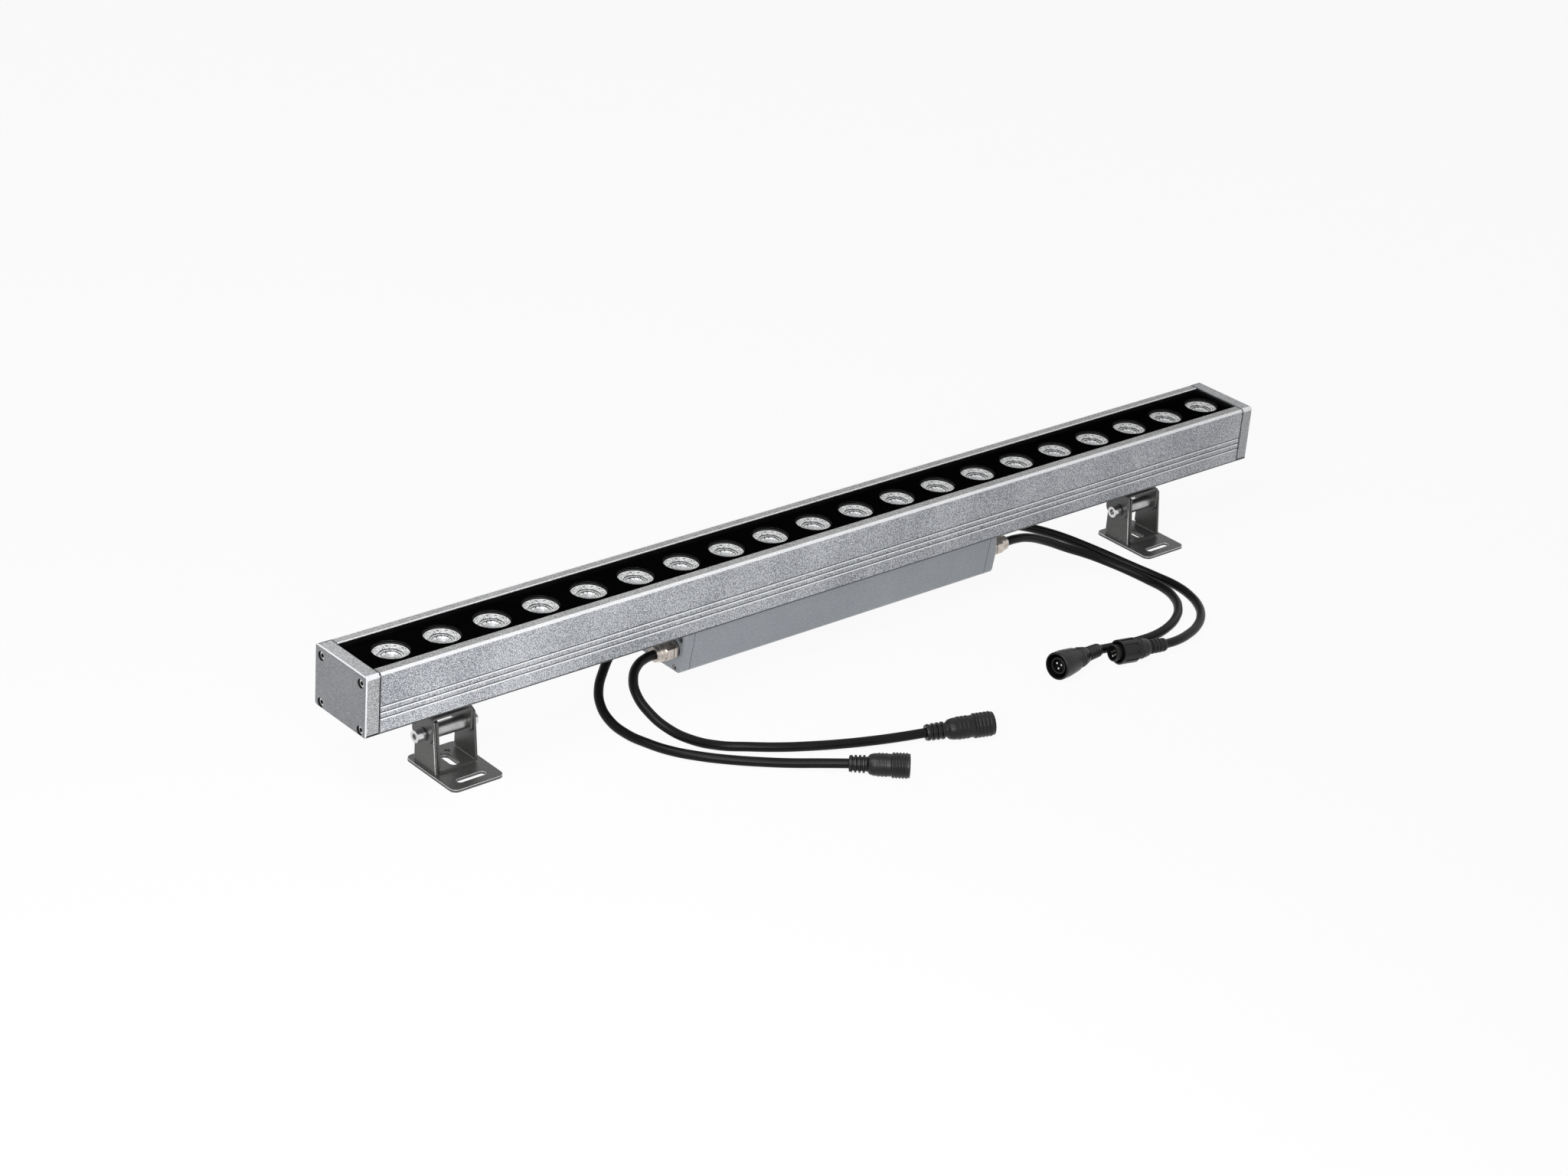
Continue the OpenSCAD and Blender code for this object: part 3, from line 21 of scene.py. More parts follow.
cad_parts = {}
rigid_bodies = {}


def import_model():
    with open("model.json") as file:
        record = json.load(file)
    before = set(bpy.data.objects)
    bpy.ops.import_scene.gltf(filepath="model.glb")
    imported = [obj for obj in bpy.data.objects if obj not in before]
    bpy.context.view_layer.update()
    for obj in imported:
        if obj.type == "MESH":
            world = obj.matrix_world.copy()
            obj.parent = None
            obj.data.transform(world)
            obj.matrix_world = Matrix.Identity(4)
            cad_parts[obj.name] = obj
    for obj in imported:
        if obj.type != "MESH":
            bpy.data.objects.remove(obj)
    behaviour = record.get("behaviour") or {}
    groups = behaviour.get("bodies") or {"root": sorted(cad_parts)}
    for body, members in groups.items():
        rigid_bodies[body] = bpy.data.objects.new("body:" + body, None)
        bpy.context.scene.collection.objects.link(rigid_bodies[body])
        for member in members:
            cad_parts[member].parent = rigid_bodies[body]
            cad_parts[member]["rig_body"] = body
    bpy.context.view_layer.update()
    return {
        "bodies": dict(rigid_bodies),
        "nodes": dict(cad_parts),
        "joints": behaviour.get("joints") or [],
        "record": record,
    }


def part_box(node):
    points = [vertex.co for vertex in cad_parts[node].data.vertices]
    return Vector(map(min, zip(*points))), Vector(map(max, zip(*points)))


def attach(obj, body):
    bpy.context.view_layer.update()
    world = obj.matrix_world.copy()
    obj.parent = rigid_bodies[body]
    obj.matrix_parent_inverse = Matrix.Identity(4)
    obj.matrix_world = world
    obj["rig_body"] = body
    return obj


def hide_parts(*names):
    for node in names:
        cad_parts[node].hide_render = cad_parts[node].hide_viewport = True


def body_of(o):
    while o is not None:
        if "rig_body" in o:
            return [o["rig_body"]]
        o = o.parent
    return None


LOG = logging.getLogger("wall_washer")
MM = 0.001
WELD = 0.002 * MM
SLIVER = 0.001 * MM
MICRON_DIGITS = 6
Colour = tuple[float, float, float]
Point = tuple[float, float, float]
Band = tuple[float, float]
Shape = bmesh.types.BMesh
Face = bmesh.types.BMFace
Edge = bmesh.types.BMEdge
Piece = bpy.types.Object
Picker = Callable[[Shape], list[Edge]]
Painter = Callable[[Shape], None]


class Slot(str, Enum):
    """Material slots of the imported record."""

    HOUSING = "housing"
    END_CAP = "end_cap"
    DRIVER_BOX = "driver_box"
    BLACK_RUBBER = "black_rubber"
    SMALL_SCREW = "small_screw"
    LENS_PLATE = "lens_plate"
    LENS = "lens"
    GLAND = "gland"
    CORD = "cord"
    CONNECTOR = "connector"
    INSERT = "contact_insert"
    RING = "coupling_ring"
    HANGER = "hanger"
    FOOT_PLATE = "foot_plate"
    BRACKET = "bracket"
    BOLT = "bolt"
    WASHER = "washer"
    SPACER = "spacer"


class Side(Enum):
    """The two ends of the lamp."""

    LEFT = "left"
    RIGHT = "right"


class Coat(IntEnum):
    """Which of a rounded piece's finishes a face takes.

    Coat 1 paints a highlight on rounded edges. On a piece whose edges have no finish of their own
    it holds the second finish: metal on contacts, and painted shade in the sunk parts of screw heads.
    """

    BODY = 0
    EDGE = 1
    INLAY = 1
    # Painted shade: groove roofs, seam strips, screw pockets and small walls.
    DARK = 2
    # Painted light: groove slopes and the caps' sides.
    PALE = 3
    # Painted shade on the tops of the housing's rims.
    RIM = 4


class LensCoat(IntEnum):
    """Which of a lens's finishes a face takes: silver, dark and grey painted reflection, and the rim's
    painted highlight.
    """

    SILVER = 0
    STEP = 1
    GREY = 2
    # Painted highlight on the lens's rim.
    RIM = 3


# Shader maths


class Wire:
    """A shader socket that can stand in a Python expression."""

    def __init__(self, graph: Graph, socket: bpy.types.NodeSocket | None) -> None:
        """Wraps an output socket of the graph."""
        self.graph = graph
        self.socket = socket

    def _maths(self, kind: str, left: Wire | float, right: Wire | float) -> Wire:
        """Adds one Math node of that kind."""
        return self.graph.add("ShaderNodeMath", {"operation": kind}, {0: left, 1: right})

    def __add__(self, other: Wire | float) -> Wire:
        """Sum."""
        return self._maths("ADD", self, other)

    def __radd__(self, other: Wire | float) -> Wire:
        """Sum, with the number first."""
        return self._maths("ADD", other, self)

    def __sub__(self, other: Wire | float) -> Wire:
        """Difference."""
        return self._maths("SUBTRACT", self, other)

    def __rsub__(self, other: Wire | float) -> Wire:
        """Difference, with the number first."""
        return self._maths("SUBTRACT", other, self)

    def __mul__(self, other: Wire | float) -> Wire:
        """Product."""
        return self._maths("MULTIPLY", self, other)

    def __rmul__(self, other: Wire | float) -> Wire:
        """Product, with the number first."""
        return self._maths("MULTIPLY", other, self)

    def most(self, other: Wire | float) -> Wire:
        """The larger of the two."""
        return self._maths("MAXIMUM", self, other)

    def above(self, low: float, high: float) -> Wire:
        """0 below low, 1 above high and a straight line between.

        Args:
            low: Value that gives 0.
            high: Value that gives 1.

        Returns:
            The clamped share.
        """
        ends = {0: self, 1: low, 2: high, 3: 0.0, 4: 1.0}
        return self.graph.add("ShaderNodeMapRange", {"clamp": True}, ends)


class Graph:
    """The node tree of one material or world."""

    def __init__(self, owner: bpy.types.Material | bpy.types.World) -> None:
        """Empties the tree of its new owner.

        Args:
            owner: The material or world.
        """
        self.owner = owner
        owner.use_nodes = True
        self.nodes, self.links = owner.node_tree.nodes, owner.node_tree.links
        self.nodes.clear()

    def add(
        self,
        kind: str,
        settings: dict[str, Any] | None = None,
        values: dict[int | str, Any] | None = None,
        out: int | str = 0,
    ) -> Wire:
        """Adds one node.

        Args:
            kind: The node's type.
            settings: Its own settings, set first.
            values: Numbers, colours or wires for its inputs, by index or name.
            out: Which output to return.

        Returns:
            That output as a wire.
        """
        made = self.nodes.new(kind)
        for key, value in (settings or {}).items():
            setattr(made, key, value)
        for key, value in (values or {}).items():
            if isinstance(value, Wire):
                self.links.new(value.socket, made.inputs[key])
            elif made.inputs[key].type == "RGBA":
                made.inputs[key].default_value = (*value, 1.0)
            else:
                made.inputs[key].default_value = value
        return Wire(self, made.outputs[out] if made.outputs else None)

    def place(self) -> Wire:
        """Object coordinates, in metres."""
        return self.add("ShaderNodeTexCoord", out="Object")

    def noise(self, size: float, detail: float = 2.0, rough: float = 0.5, at: Wire | None = None) -> Wire:
        """Adds a cloudy noise.

        Args:
            size: Size of its largest grains in metres.
            detail: How many times finer grains are added.
            rough: How strong each finer grain is.
            at: Coordinates, or the object's own.

        Returns:
            Its level, around a half.
        """
        return self.add(
            "ShaderNodeTexNoise",
            {"noise_dimensions": "3D"},
            {"Vector": at or self.place(), "Scale": 1.0 / size, "Detail": detail, "Roughness": rough},
        )

    def cells(self, size: float, at: Wire) -> Wire:
        """Distance to the nearest of scattered points, with cells of about that size in metres."""
        return self.add("ShaderNodeTexVoronoi", {"feature": "F1"}, {"Vector": at, "Scale": 1.0 / size})

    def mix(self, share: Wire, first: Wire | Colour, second: Wire | Colour) -> Wire:
        """First colour where share is 0 and second where it is 1."""
        return self.add("ShaderNodeMix", {"data_type": "RGBA"}, {0: share, 6: first, 7: second}, out=2)

    def bump(self, height: Wire, depth: float, strength: float) -> Wire:
        """Bends the normal by a relief.

        Args:
            height: Relief from 0 to 1.
            depth: Its depth in metres.
            strength: How much of it shows.

        Returns:
            The bent normal.
        """
        return self.add("ShaderNodeBump", {}, {"Strength": strength, "Distance": depth, "Height": height})

    def surface(self, values: dict[int | str, Any]) -> bpy.types.Material:
        """Ends the material in a Principled shader.

        Args:
            values: The shader's inputs.

        Returns:
            The material.
        """
        shader = self.add("ShaderNodeBsdfPrincipled", {}, values)
        self.add("ShaderNodeOutputMaterial", {}, {"Surface": shader})
        return self.owner


# Finishes


def grey(level: float) -> Colour:
    """A colour without hue."""
    return (level, level, level)


@dataclass(frozen=True)
class SandPaint:
    """Powder coat on metal, with a fine sandy grain and bright metallic flecks."""

    name: str
    dark: Colour
    light: Colour
    fleck: Colour
    grain: float = 1.0 * MM
    relief: float = 0.05 * MM
    flecks: float = 0.35
    roughness: float = 0.42
    metallic: float = 0.25
    tone: Band = (0.41, 0.6)
    cloud: float = 60 * MM
    cloud_share: float = 0.15
    fleck_size: float = 1.15
    fleck_tone: Band = (0.62, 0.86)
    fleck_grain: Band = (0.45, 0.6)
    fleck_relief: float = 0.3
    fleck_gloss: float = 0.2
    roughness_swing: float = 0.22
    relief_shown: float = 0.8

    def make(self) -> bpy.types.Material:
        """Builds the material.

        Returns:
            The new material.
        """
        graph = Graph(bpy.data.materials.new(self.name))
        place = graph.place()
        grain = graph.noise(self.grain, detail=3.0, rough=0.6, at=place)
        cloud = graph.noise(self.cloud, at=place)
        hollow = graph.cells(self.grain * self.fleck_size, place)
        tone = (grain * (1.0 - self.cloud_share) + cloud * self.cloud_share).above(*self.tone)
        shine = (1.0 - hollow).above(*self.fleck_tone) * self.flecks * grain.above(*self.fleck_grain)
        height = grain * (1.0 - self.fleck_relief) + (1.0 - hollow) * self.fleck_relief
        lowest = self.roughness - self.roughness_swing / 2
        return graph.surface(
            {
                "Base Color": graph.mix(shine, graph.mix(tone, self.dark, self.light), self.fleck),
                "Metallic": self.metallic,
                "Roughness": grain * self.roughness_swing + lowest - shine * self.fleck_gloss,
                "Normal": graph.bump(height, self.relief, self.relief_shown),
            }
        )


@dataclass(frozen=True)
class BareMetal:
    """Plated, turned or polished metal."""

    name: str
    colour: Colour
    tint: Colour
    roughness: float = 0.22
    grain: float = 0.4 * MM
    stretch: Point = (1.0, 1.0, 1.0)
    relief: float = 0.01 * MM
    relief_shown: float = 0.6
    stain: float = 5 * MM
    stain_tone: Band = (0.35, 0.7)
    marks_swing: float = 0.16
    stain_swing: float = 0.08

    def make(self) -> bpy.types.Material:
        """Builds the material.

        Returns:
            The new material.
        """
        graph = Graph(bpy.data.materials.new(self.name))
        place = graph.add("ShaderNodeMapping", {}, {"Vector": graph.place(), "Scale": self.stretch})
        marks = graph.noise(self.grain, detail=3.0, rough=0.55, at=place)
        stain = graph.noise(self.stain, detail=3.0, rough=0.6)
        lowest = self.roughness - (self.marks_swing + self.stain_swing) / 2
        return graph.surface(
            {
                "Base Color": graph.mix(stain.above(*self.stain_tone), self.colour, self.tint),
                "Metallic": 1.0,
                "Roughness": marks * self.marks_swing + stain * self.stain_swing + lowest,
                "Normal": graph.bump(marks, self.relief, self.relief_shown),
            }
        )


@dataclass(frozen=True)
class BlackPolymer:
    """Moulded plastic or rubber with a fine skin."""

    name: str
    colour: Colour
    worn: Colour
    roughness: float = 0.42
    specular: float = 0.5
    grain: float = 0.35 * MM
    relief: float = 0.02 * MM
    relief_shown: float = 0.7
    wipe: float = 14 * MM
    wipe_tone: Band = (0.4, 0.75)
    skin_swing: float = 0.12
    wipe_swing: float = 0.14

    def make(self) -> bpy.types.Material:
        """Builds the material.

        Returns:
            The new material.
        """
        graph = Graph(bpy.data.materials.new(self.name))
        place = graph.place()
        skin = graph.noise(self.grain, rough=0.55, at=place)
        wipe = graph.noise(self.wipe, detail=3.0, rough=0.6, at=place)
        lowest = self.roughness - (self.skin_swing + self.wipe_swing) / 2
        return graph.surface(
            {
                "Base Color": graph.mix(wipe.above(*self.wipe_tone), self.colour, self.worn),
                "Roughness": skin * self.skin_swing + wipe * self.wipe_swing + lowest,
                "Specular IOR Level": self.specular,
                "Normal": graph.bump(skin, self.relief, self.relief_shown),
            }
        )


@dataclass(frozen=True)
class MouldedLens:
    """Clear moulded lens, coloured silver-white as a painted reflection of the light that its inner walls
    throw back.
    """

    name: str
    bright: Colour = (0.97, 0.975, 0.98)
    shade: Colour = (0.6, 0.61, 0.62)
    roughness: float = 0.3
    metallic: float = 0.4
    bead: float = 0.9 * MM
    bead_share: float = 0.9
    glint: float = 1.6 * MM
    glint_share: float = 0.5
    tone: Band = (0.45, 1.0)
    roughness_swing: float = 0.12
    skin_roughness: float = 0.04
    relief: float = 0.12 * MM
    relief_shown: float = 0.8

    def make(self) -> bpy.types.Material:
        """Builds the material.

        Returns:
            The new material.
        """
        graph = Graph(bpy.data.materials.new(self.name))
        place = graph.place()
        beads = graph.cells(self.bead, place)
        glint = graph.noise(self.glint, rough=0.6, at=place)
        # Painted reflection: bead cells and glint noise mix the bright and darker tones into painted
        # glints.
        tone = (beads * self.bead_share + glint * self.glint_share).above(*self.tone)
        return graph.surface(
            {
                "Base Color": graph.mix(tone, self.bright, self.shade),
                "Metallic": self.metallic,
                "Roughness": glint * self.roughness_swing + (self.roughness - self.roughness_swing / 2),
                "Coat Weight": 1.0,
                "Coat Roughness": self.skin_roughness,
                "Normal": graph.bump(1.0 - beads, self.relief, self.relief_shown),
            }
        )


@dataclass(frozen=True)
class PlainSkin:
    """Simple finish of an inner piece, with a little variation."""

    name: str
    colour: Colour
    other: Colour
    roughness: float = 0.45
    patch: float = 4 * MM
    tone: Band = (0.35, 0.65)
    roughness_swing: float = 0.1
    relief: float = 0.01 * MM
    relief_shown: float = 0.5

    def make(self) -> bpy.types.Material:
        """Builds the material.

        Returns:
            The new material.
        """
        graph = Graph(bpy.data.materials.new(self.name))
        cloud = graph.noise(self.patch, detail=3.0, rough=0.6)
        return graph.surface(
            {
                "Base Color": graph.mix(cloud.above(*self.tone), self.colour, self.other),
                "Roughness": cloud * self.roughness_swing + (self.roughness - self.roughness_swing / 2),
                "Normal": graph.bump(cloud, self.relief, self.relief_shown),
            }
        )


class Finishes(Enum):
    """Every finish on the lamp."""

    HOUSING = SandPaint("housing_paint", (0.15, 0.16, 0.185), (0.7, 0.715, 0.75), grey(1.0), flecks=0.5)
    # Painted shade: the rims' tops are a darker copy of the housing's paint.
    RIM_TOP = SandPaint("housing_rim_painted_shade", grey(0.17), grey(0.53), grey(0.9))
    # Painted light on the lower part of each groove slope.
    GROOVE = SandPaint("groove_slope", (0.78, 0.79, 0.81), (0.93, 0.94, 0.96), grey(1.0))
    # Painted highlight on the housing's chamfers, rim edges and bevels, and on the caps' bevels and corner
    # cuts.
    HOUSING_EDGE = SandPaint(
        "housing_edge_painted_highlight", (0.72, 0.73, 0.75), (0.92, 0.93, 0.95), grey(1.0),
        flecks=0.3, roughness=0.34, metallic=0.5,
    )
    # Painted shade in the groove roofs, at the top of each groove slope and beside the gaskets.
    HOUSING_SHADE = SandPaint(
        "groove_roof_painted_shade", (0.03, 0.033, 0.036), (0.06, 0.063, 0.066), grey(0.2), flecks=0.1
    )
    # Painted shade on the caps' end faces, a darker copy of the paint on their sides.
    END_CAP = SandPaint(
        "end_cap_face_painted_shade", (0.155, 0.16, 0.17), (0.28, 0.285, 0.3), (0.5, 0.51, 0.54), 0.9 * MM, 0.03 * MM,
        flecks=0.2,
    )
    # Painted light on the caps' sides, a lighter copy of the paint on their end faces.
    CAP_SIDE = SandPaint("end_cap_side_painted_light", (0.22, 0.225, 0.235), (0.55, 0.555, 0.565), (0.85, 0.86, 0.88))
    DRIVER = SandPaint(
        "driver_paint", (0.235, 0.25, 0.275), (0.37, 0.39, 0.42), (0.6, 0.63, 0.7), 0.6 * MM, 0.03 * MM,
        flecks=0.2, roughness=0.38,
    )
    GUNMETAL = SandPaint(
        "gunmetal_paint", (0.065, 0.065, 0.063), (0.13, 0.13, 0.127), grey(0.4), 0.6 * MM, 0.03 * MM,
        flecks=0.3, roughness=0.36, metallic=0.5,
    )
    # Painted highlight on the brackets' rounded edges.
    GUNMETAL_EDGE = SandPaint(
        "gunmetal_edge_painted_highlight", grey(0.55), grey(0.95), grey(1.0), 0.8 * MM, 0.03 * MM,
        flecks=0.4, roughness=0.3, metallic=0.6,
    )
    # Painted highlight on the rounded edges of the black lens plate.
    PLATE_EDGE = SandPaint("lens_plate_edge_painted_highlight", grey(0.1), grey(0.16), grey(0.3), metallic=0.7)
    PLATE_BLACK = BlackPolymer("lens_plate_black", grey(0.0014), grey(0.002), 0.6, specular=0.0)
    RUBBER = BlackPolymer("black_rubber", grey(0.008), grey(0.014), 0.6, specular=0.15)
    BEAD = BlackPolymer("seal_bead", grey(0.0014), grey(0.003), 0.45, specular=0.03)
    # Painted highlight on the seal bead's rounded edges.
    BEAD_EDGE = BlackPolymer("seal_bead_edge_painted_highlight", grey(0.008), grey(0.012), 0.35, specular=0.3)
    # Painted shade in the caps' screw pockets, on their small walls and beside the gaskets, and deep in the
    # screws' heads.
    POCKET = BlackPolymer("screw_pocket_painted_shade", grey(0.01), grey(0.02), 0.5, specular=0.1)
    SHEATH = BlackPolymer(
        "cord_sheath", grey(0.003), grey(0.005), 0.33, specular=0.14, grain=0.5 * MM, relief=0.012 * MM
    )
    NYLON = BlackPolymer("connector_nylon", grey(0.004), grey(0.008), 0.34, specular=0.3, grain=0.3 * MM)
    INSERT = BlackPolymer("contact_insert", grey(0.006), grey(0.01), 0.45, specular=0.1)
    NICKEL = BareMetal("nickel_plate", (0.62, 0.57, 0.52), (0.45, 0.40, 0.36), 0.26)
    STEEL = BareMetal("polished_steel", (0.72, 0.72, 0.73), (0.58, 0.58, 0.59), 0.18)
    ZINC = BareMetal("zinc_screw", (0.34, 0.34, 0.35), (0.22, 0.22, 0.23), 0.34)
    DARK_STEEL = BareMetal("dark_steel", grey(0.16), grey(0.09), 0.32)
    TUBE = BareMetal("turned_tube", grey(0.5), grey(0.4), 0.34, grain=0.3 * MM, stretch=(0.05, 1.0, 1.0))
    PIN = BareMetal("contact_pin", (0.85, 0.85, 0.82), (0.7, 0.7, 0.66), 0.2)
    # The lens's colours are painted reflections: silver-white faces, a painted highlight on the rim, dark
    # steps and grey facets.
    LENS = MouldedLens("moulded_lens_painted_reflection")
    LENS_RIM = MouldedLens("lens_rim_painted_highlight", grey(1.0), grey(0.9), metallic=0.2)
    LENS_STEP = MouldedLens("lens_painted_dark_reflection", grey(0.03), grey(0.01), metallic=0.1)
    LENS_GREY = MouldedLens("lens_painted_grey_reflection", (0.56, 0.57, 0.58), (0.3, 0.31, 0.32), 0.4, metallic=0.15)
    SILICONE = PlainSkin("lens_seal_silicone", grey(0.03), grey(0.05), 0.5)
    SOLDER_MASK = PlainSkin("white_board", (0.78, 0.79, 0.79), (0.7, 0.71, 0.71), 0.4)
    PHOSPHOR = PlainSkin("led_phosphor", (0.8, 0.62, 0.2), (0.7, 0.5, 0.14), 0.3, patch=1 * MM)
    GREEN_BOARD = PlainSkin("green_board", (0.02, 0.12, 0.05), (0.03, 0.17, 0.07), 0.35)
    WOUND = PlainSkin("driver_parts", (0.1, 0.09, 0.08), (0.2, 0.15, 0.08))
    WIRE = PlainSkin("red_wire", (0.35, 0.03, 0.02), (0.28, 0.02, 0.02))


class Paintbox:
    """Builds each finish once, when it is first asked for."""

    def __init__(self) -> None:
        """Starts with no material made."""
        self._made: dict[Finishes, bpy.types.Material] = {}

    def get(self, finish: Finishes) -> bpy.types.Material:
        """Gives the material of a finish.

        Args:
            finish: The finish.

        Returns:
            Its material.
        """
        if finish not in self._made:
            self._made[finish] = finish.value.make()
        return self._made[finish]


# Making pieces


def finished(node: str) -> str:
    """Name of the piece that stands in for a node."""
    return f"{node}_finished"


def lean(face: Face) -> float:
    """How far a face leans both to the front or back and up or down."""
    return min(abs(face.normal.y), abs(face.normal.z))


def top_of(face: Face) -> float:
    """Height of a face's highest corner."""
    return max(vert.co.z for vert in face.verts)


def farthest(shape: Shape) -> float:
    """Distance of a shape's farthest vertex from the lamp's middle, along the lamp."""
    return max(abs(vert.co.x) for vert in shape.verts)


def radius_of(vert: bmesh.types.BMVert) -> float:
    """Distance of a vertex from the Z axis in millimetres."""
    return (vert.co.x**2 + vert.co.y**2) ** 0.5 / MM


def cut_at(shape: Shape, point: Point, normal: Point) -> None:
    """Cuts the faces of a shape along a plane and keeps both sides.

    Args:
        shape: The shape.
        point: A point of the plane.
        normal: The plane's normal.
    """
    geometry = [*shape.verts, *shape.edges, *shape.faces]
    bmesh.ops.bisect_plane(shape, geom=geometry, dist=SLIVER, plane_co=point, plane_no=normal)


def bevelled(shape: Shape, edges: list[Edge], width: float, segments: int) -> list[Face]:
    """Rounds edges of a shape.

    Args:
        shape: The shape.
        edges: Its edges to round.
        width: Width of the rounding.
        segments: Steps of the rounding.

    Returns:
        The faces of the rounding.
    """
    made = bmesh.ops.bevel(
        shape, geom=edges, offset=width, offset_type="OFFSET", segments=segments, profile=0.5,
        affect="EDGES", material=-1, clamp_overlap=True,
    )
    return made["faces"]


def spun(profile: Sequence[tuple[float, float]], steps: int) -> Shape:
    """Turns an outline round the Z axis.

    Args:
        profile: Radius and height of each point.
        steps: Number of steps round the circle.

    Returns:
        The turned shape.
    """
    shape = bmesh.new()
    verts = [shape.verts.new((radius, 0.0, height)) for radius, height in profile]
    edges = [shape.edges.new(pair) for pair in zip(verts, verts[1:])]
    bmesh.ops.spin(
        shape, geom=verts + edges, cent=(0, 0, 0), axis=(0, 0, 1), angle=math.tau, steps=steps,
        use_merge=True,
    )
    bmesh.ops.remove_doubles(shape, verts=shape.verts, dist=WELD)
    bmesh.ops.recalc_face_normals(shape, faces=shape.faces)
    return shape


def spread(shape: Shape, places: Iterable[Matrix]) -> Shape:
    """Copies a shape to several places.

    Args:
        shape: The shape, at the origin. It is freed.
        places: One matrix for each copy.

    Returns:
        A new shape with all the copies.
    """
    one = bpy.data.meshes.new("stencil")
    shape.to_mesh(one)
    shape.free()
    many = bmesh.new()
    for place in places:
        start = len(many.verts)
        many.from_mesh(one)
        many.verts.ensure_lookup_table()
        bmesh.ops.transform(many, matrix=place, verts=many.verts[start:])
    bpy.data.meshes.remove(one)
    return many


class Bench:
    """Turns meshes into dressed pieces and hands them to the frame."""

    smooth_turn: float = math.radians(32.0)
    flat_turn: float = math.radians(0.4)

    def __init__(self, frame: dict[str, Any], paints: Paintbox) -> None:
        """Keeps the frame's nodes and the paints."""
        self.nodes: dict[str, Piece] = frame["nodes"]
        self.paints = paints

    def keep(self, finish: Finishes, *nodes: str) -> None:
        """Shows nodes of the model as they are.

        Args:
            finish: Their finish.
            nodes: The nodes.
        """
        for node in nodes:
            for holder in self.nodes[node].material_slots:
                holder.material = self.paints.get(finish)
            LOG.info("kept %s in %s", node, finish.value.name)

    def show(self, piece: Piece, node: str) -> None:
        """Puts a new piece in the scene in place of a node.

        Args:
            piece: The piece.
            node: The node that it stands for and whose body it rides on.
        """
        bpy.context.scene.collection.objects.link(piece)
        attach(piece, body_of(self.nodes[node])[0])
        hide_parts(node)
        LOG.info("made %s for %s", piece.name, node)

    def add(
        self,
        name: str,
        shape: Shape,
        node: str,
        slot: Slot,
        finishes: Sequence[Finishes],
        flat: bool = False,
    ) -> Piece:
        """Makes a piece of a finished shape.

        Args:
            name: The piece's name.
            shape: Its mesh, in place. It is freed.
            node: Node of the model that it stands for.
            slot: The record's slot for the piece; not used.
            finishes: Its materials, by index.
            flat: Whether every face is shaded flat.

        Returns:
            The new object.
        """
        mesh = bpy.data.meshes.new(name)
        shape.to_mesh(mesh)
        shape.free()
        packed_normals = mesh.attributes.get("custom_normal")
        if packed_normals:
            mesh.attributes.remove(packed_normals)
        for finish in finishes:
            mesh.materials.append(self.paints.get(finish))
        if not flat:
            mesh.shade_smooth()
            mesh.set_sharp_from_angle(angle=self.smooth_turn)
        piece = bpy.data.objects.new(name, mesh)
        self.show(piece, node)
        return piece

    def merged(self, node: str) -> Shape:
        """Copies a node's mesh with its loose triangles joined and each flat area made one face.

        Args:
            node: The node.

        Returns:
            The copy, with all its faces in the first finish.
        """
        shape = bmesh.new()
        shape.from_mesh(self.nodes[node].data)
        bmesh.ops.remove_doubles(shape, verts=shape.verts, dist=WELD)
        bmesh.ops.dissolve_degenerate(shape, edges=shape.edges, dist=SLIVER)
        bmesh.ops.dissolve_limit(
            shape, angle_limit=self.flat_turn, verts=shape.verts, edges=shape.edges,
            use_dissolve_boundaries=False,
        )
        for face in shape.faces:
            face.material_index = Coat.BODY
        return shape

    def rounded(
        self,
        node: str,
        slot: Slot,
        finish: Finishes,
        edge: float,
        highlight_finish: Finishes | None = None,
        segments: int = 2,
        corner: float = 35.0,
        painter: Painter | None = None,
        more: Sequence[Finishes] = (),
        first: Picker | None = None,
        first_edge: float = 0.0,
    ) -> None:
        """Stands in for a node with a piece of the same shape whose edges are rounded.

        Args:
            node: The node.
            slot: The record's slot for the piece, handed on to add.
            finish: Its finish.
            edge: Width of the rounding.
            highlight_finish: Another finish for the rounded edges, which paints a highlight on them.
            segments: Steps of the rounding.
            corner: Edges that turn more than this many degrees are rounded.
            painter: Sets the coats of the faces before the edges are rounded.
            more: Further finishes that the painter can point to.
            first: Picks edges that get a wider rounding before the others.
            first_edge: Width of that rounding.
        """
        shape = self.merged(node)
        if painter:
            painter(shape)
        if first:
            # The wider first rounding takes the edge coat, a painted highlight.
            for face in bevelled(shape, first(shape), first_edge, 1):
                face.material_index = Coat.EDGE
        turn = math.radians(corner)
        sharp = [e for e in shape.edges if len(e.link_faces) == 2 and e.calc_face_angle() > turn]
        # Rounded edges take the painted highlight, except where painted shade already lies.
        for face in bevelled(shape, sharp, edge, segments):
            if highlight_finish and face.material_index != Coat.DARK:
                face.material_index = Coat.EDGE
        finishes = [finish, *([highlight_finish] if highlight_finish else []), *more]
        piece = self.add(finished(node), shape, node, slot, finishes)
        shading = piece.modifiers.new("even_shading", "WEIGHTED_NORMAL")
        shading.keep_sharp = True


# Sub-assemblies


@dataclass(frozen=True)
class SoftLight:
    """One rectangular light that faces a point."""

    name: str
    at: Point
    target: Point
    width: float
    height: float
    watts: float

    def make(self) -> None:
        """Hangs the light."""
        data = bpy.data.lights.new(self.name, "AREA")
        data.shape = "RECTANGLE"
        data.size, data.size_y = self.width, self.height
        data.energy = self.watts
        light = bpy.data.objects.new(self.name, data)
        way = Vector(self.target) - Vector(self.at)
        turn = way.to_track_quat("-Z", "Y").to_matrix()
        light.matrix_world = Matrix.Translation(self.at) @ turn.to_4x4()
        bpy.context.scene.collection.objects.link(light)


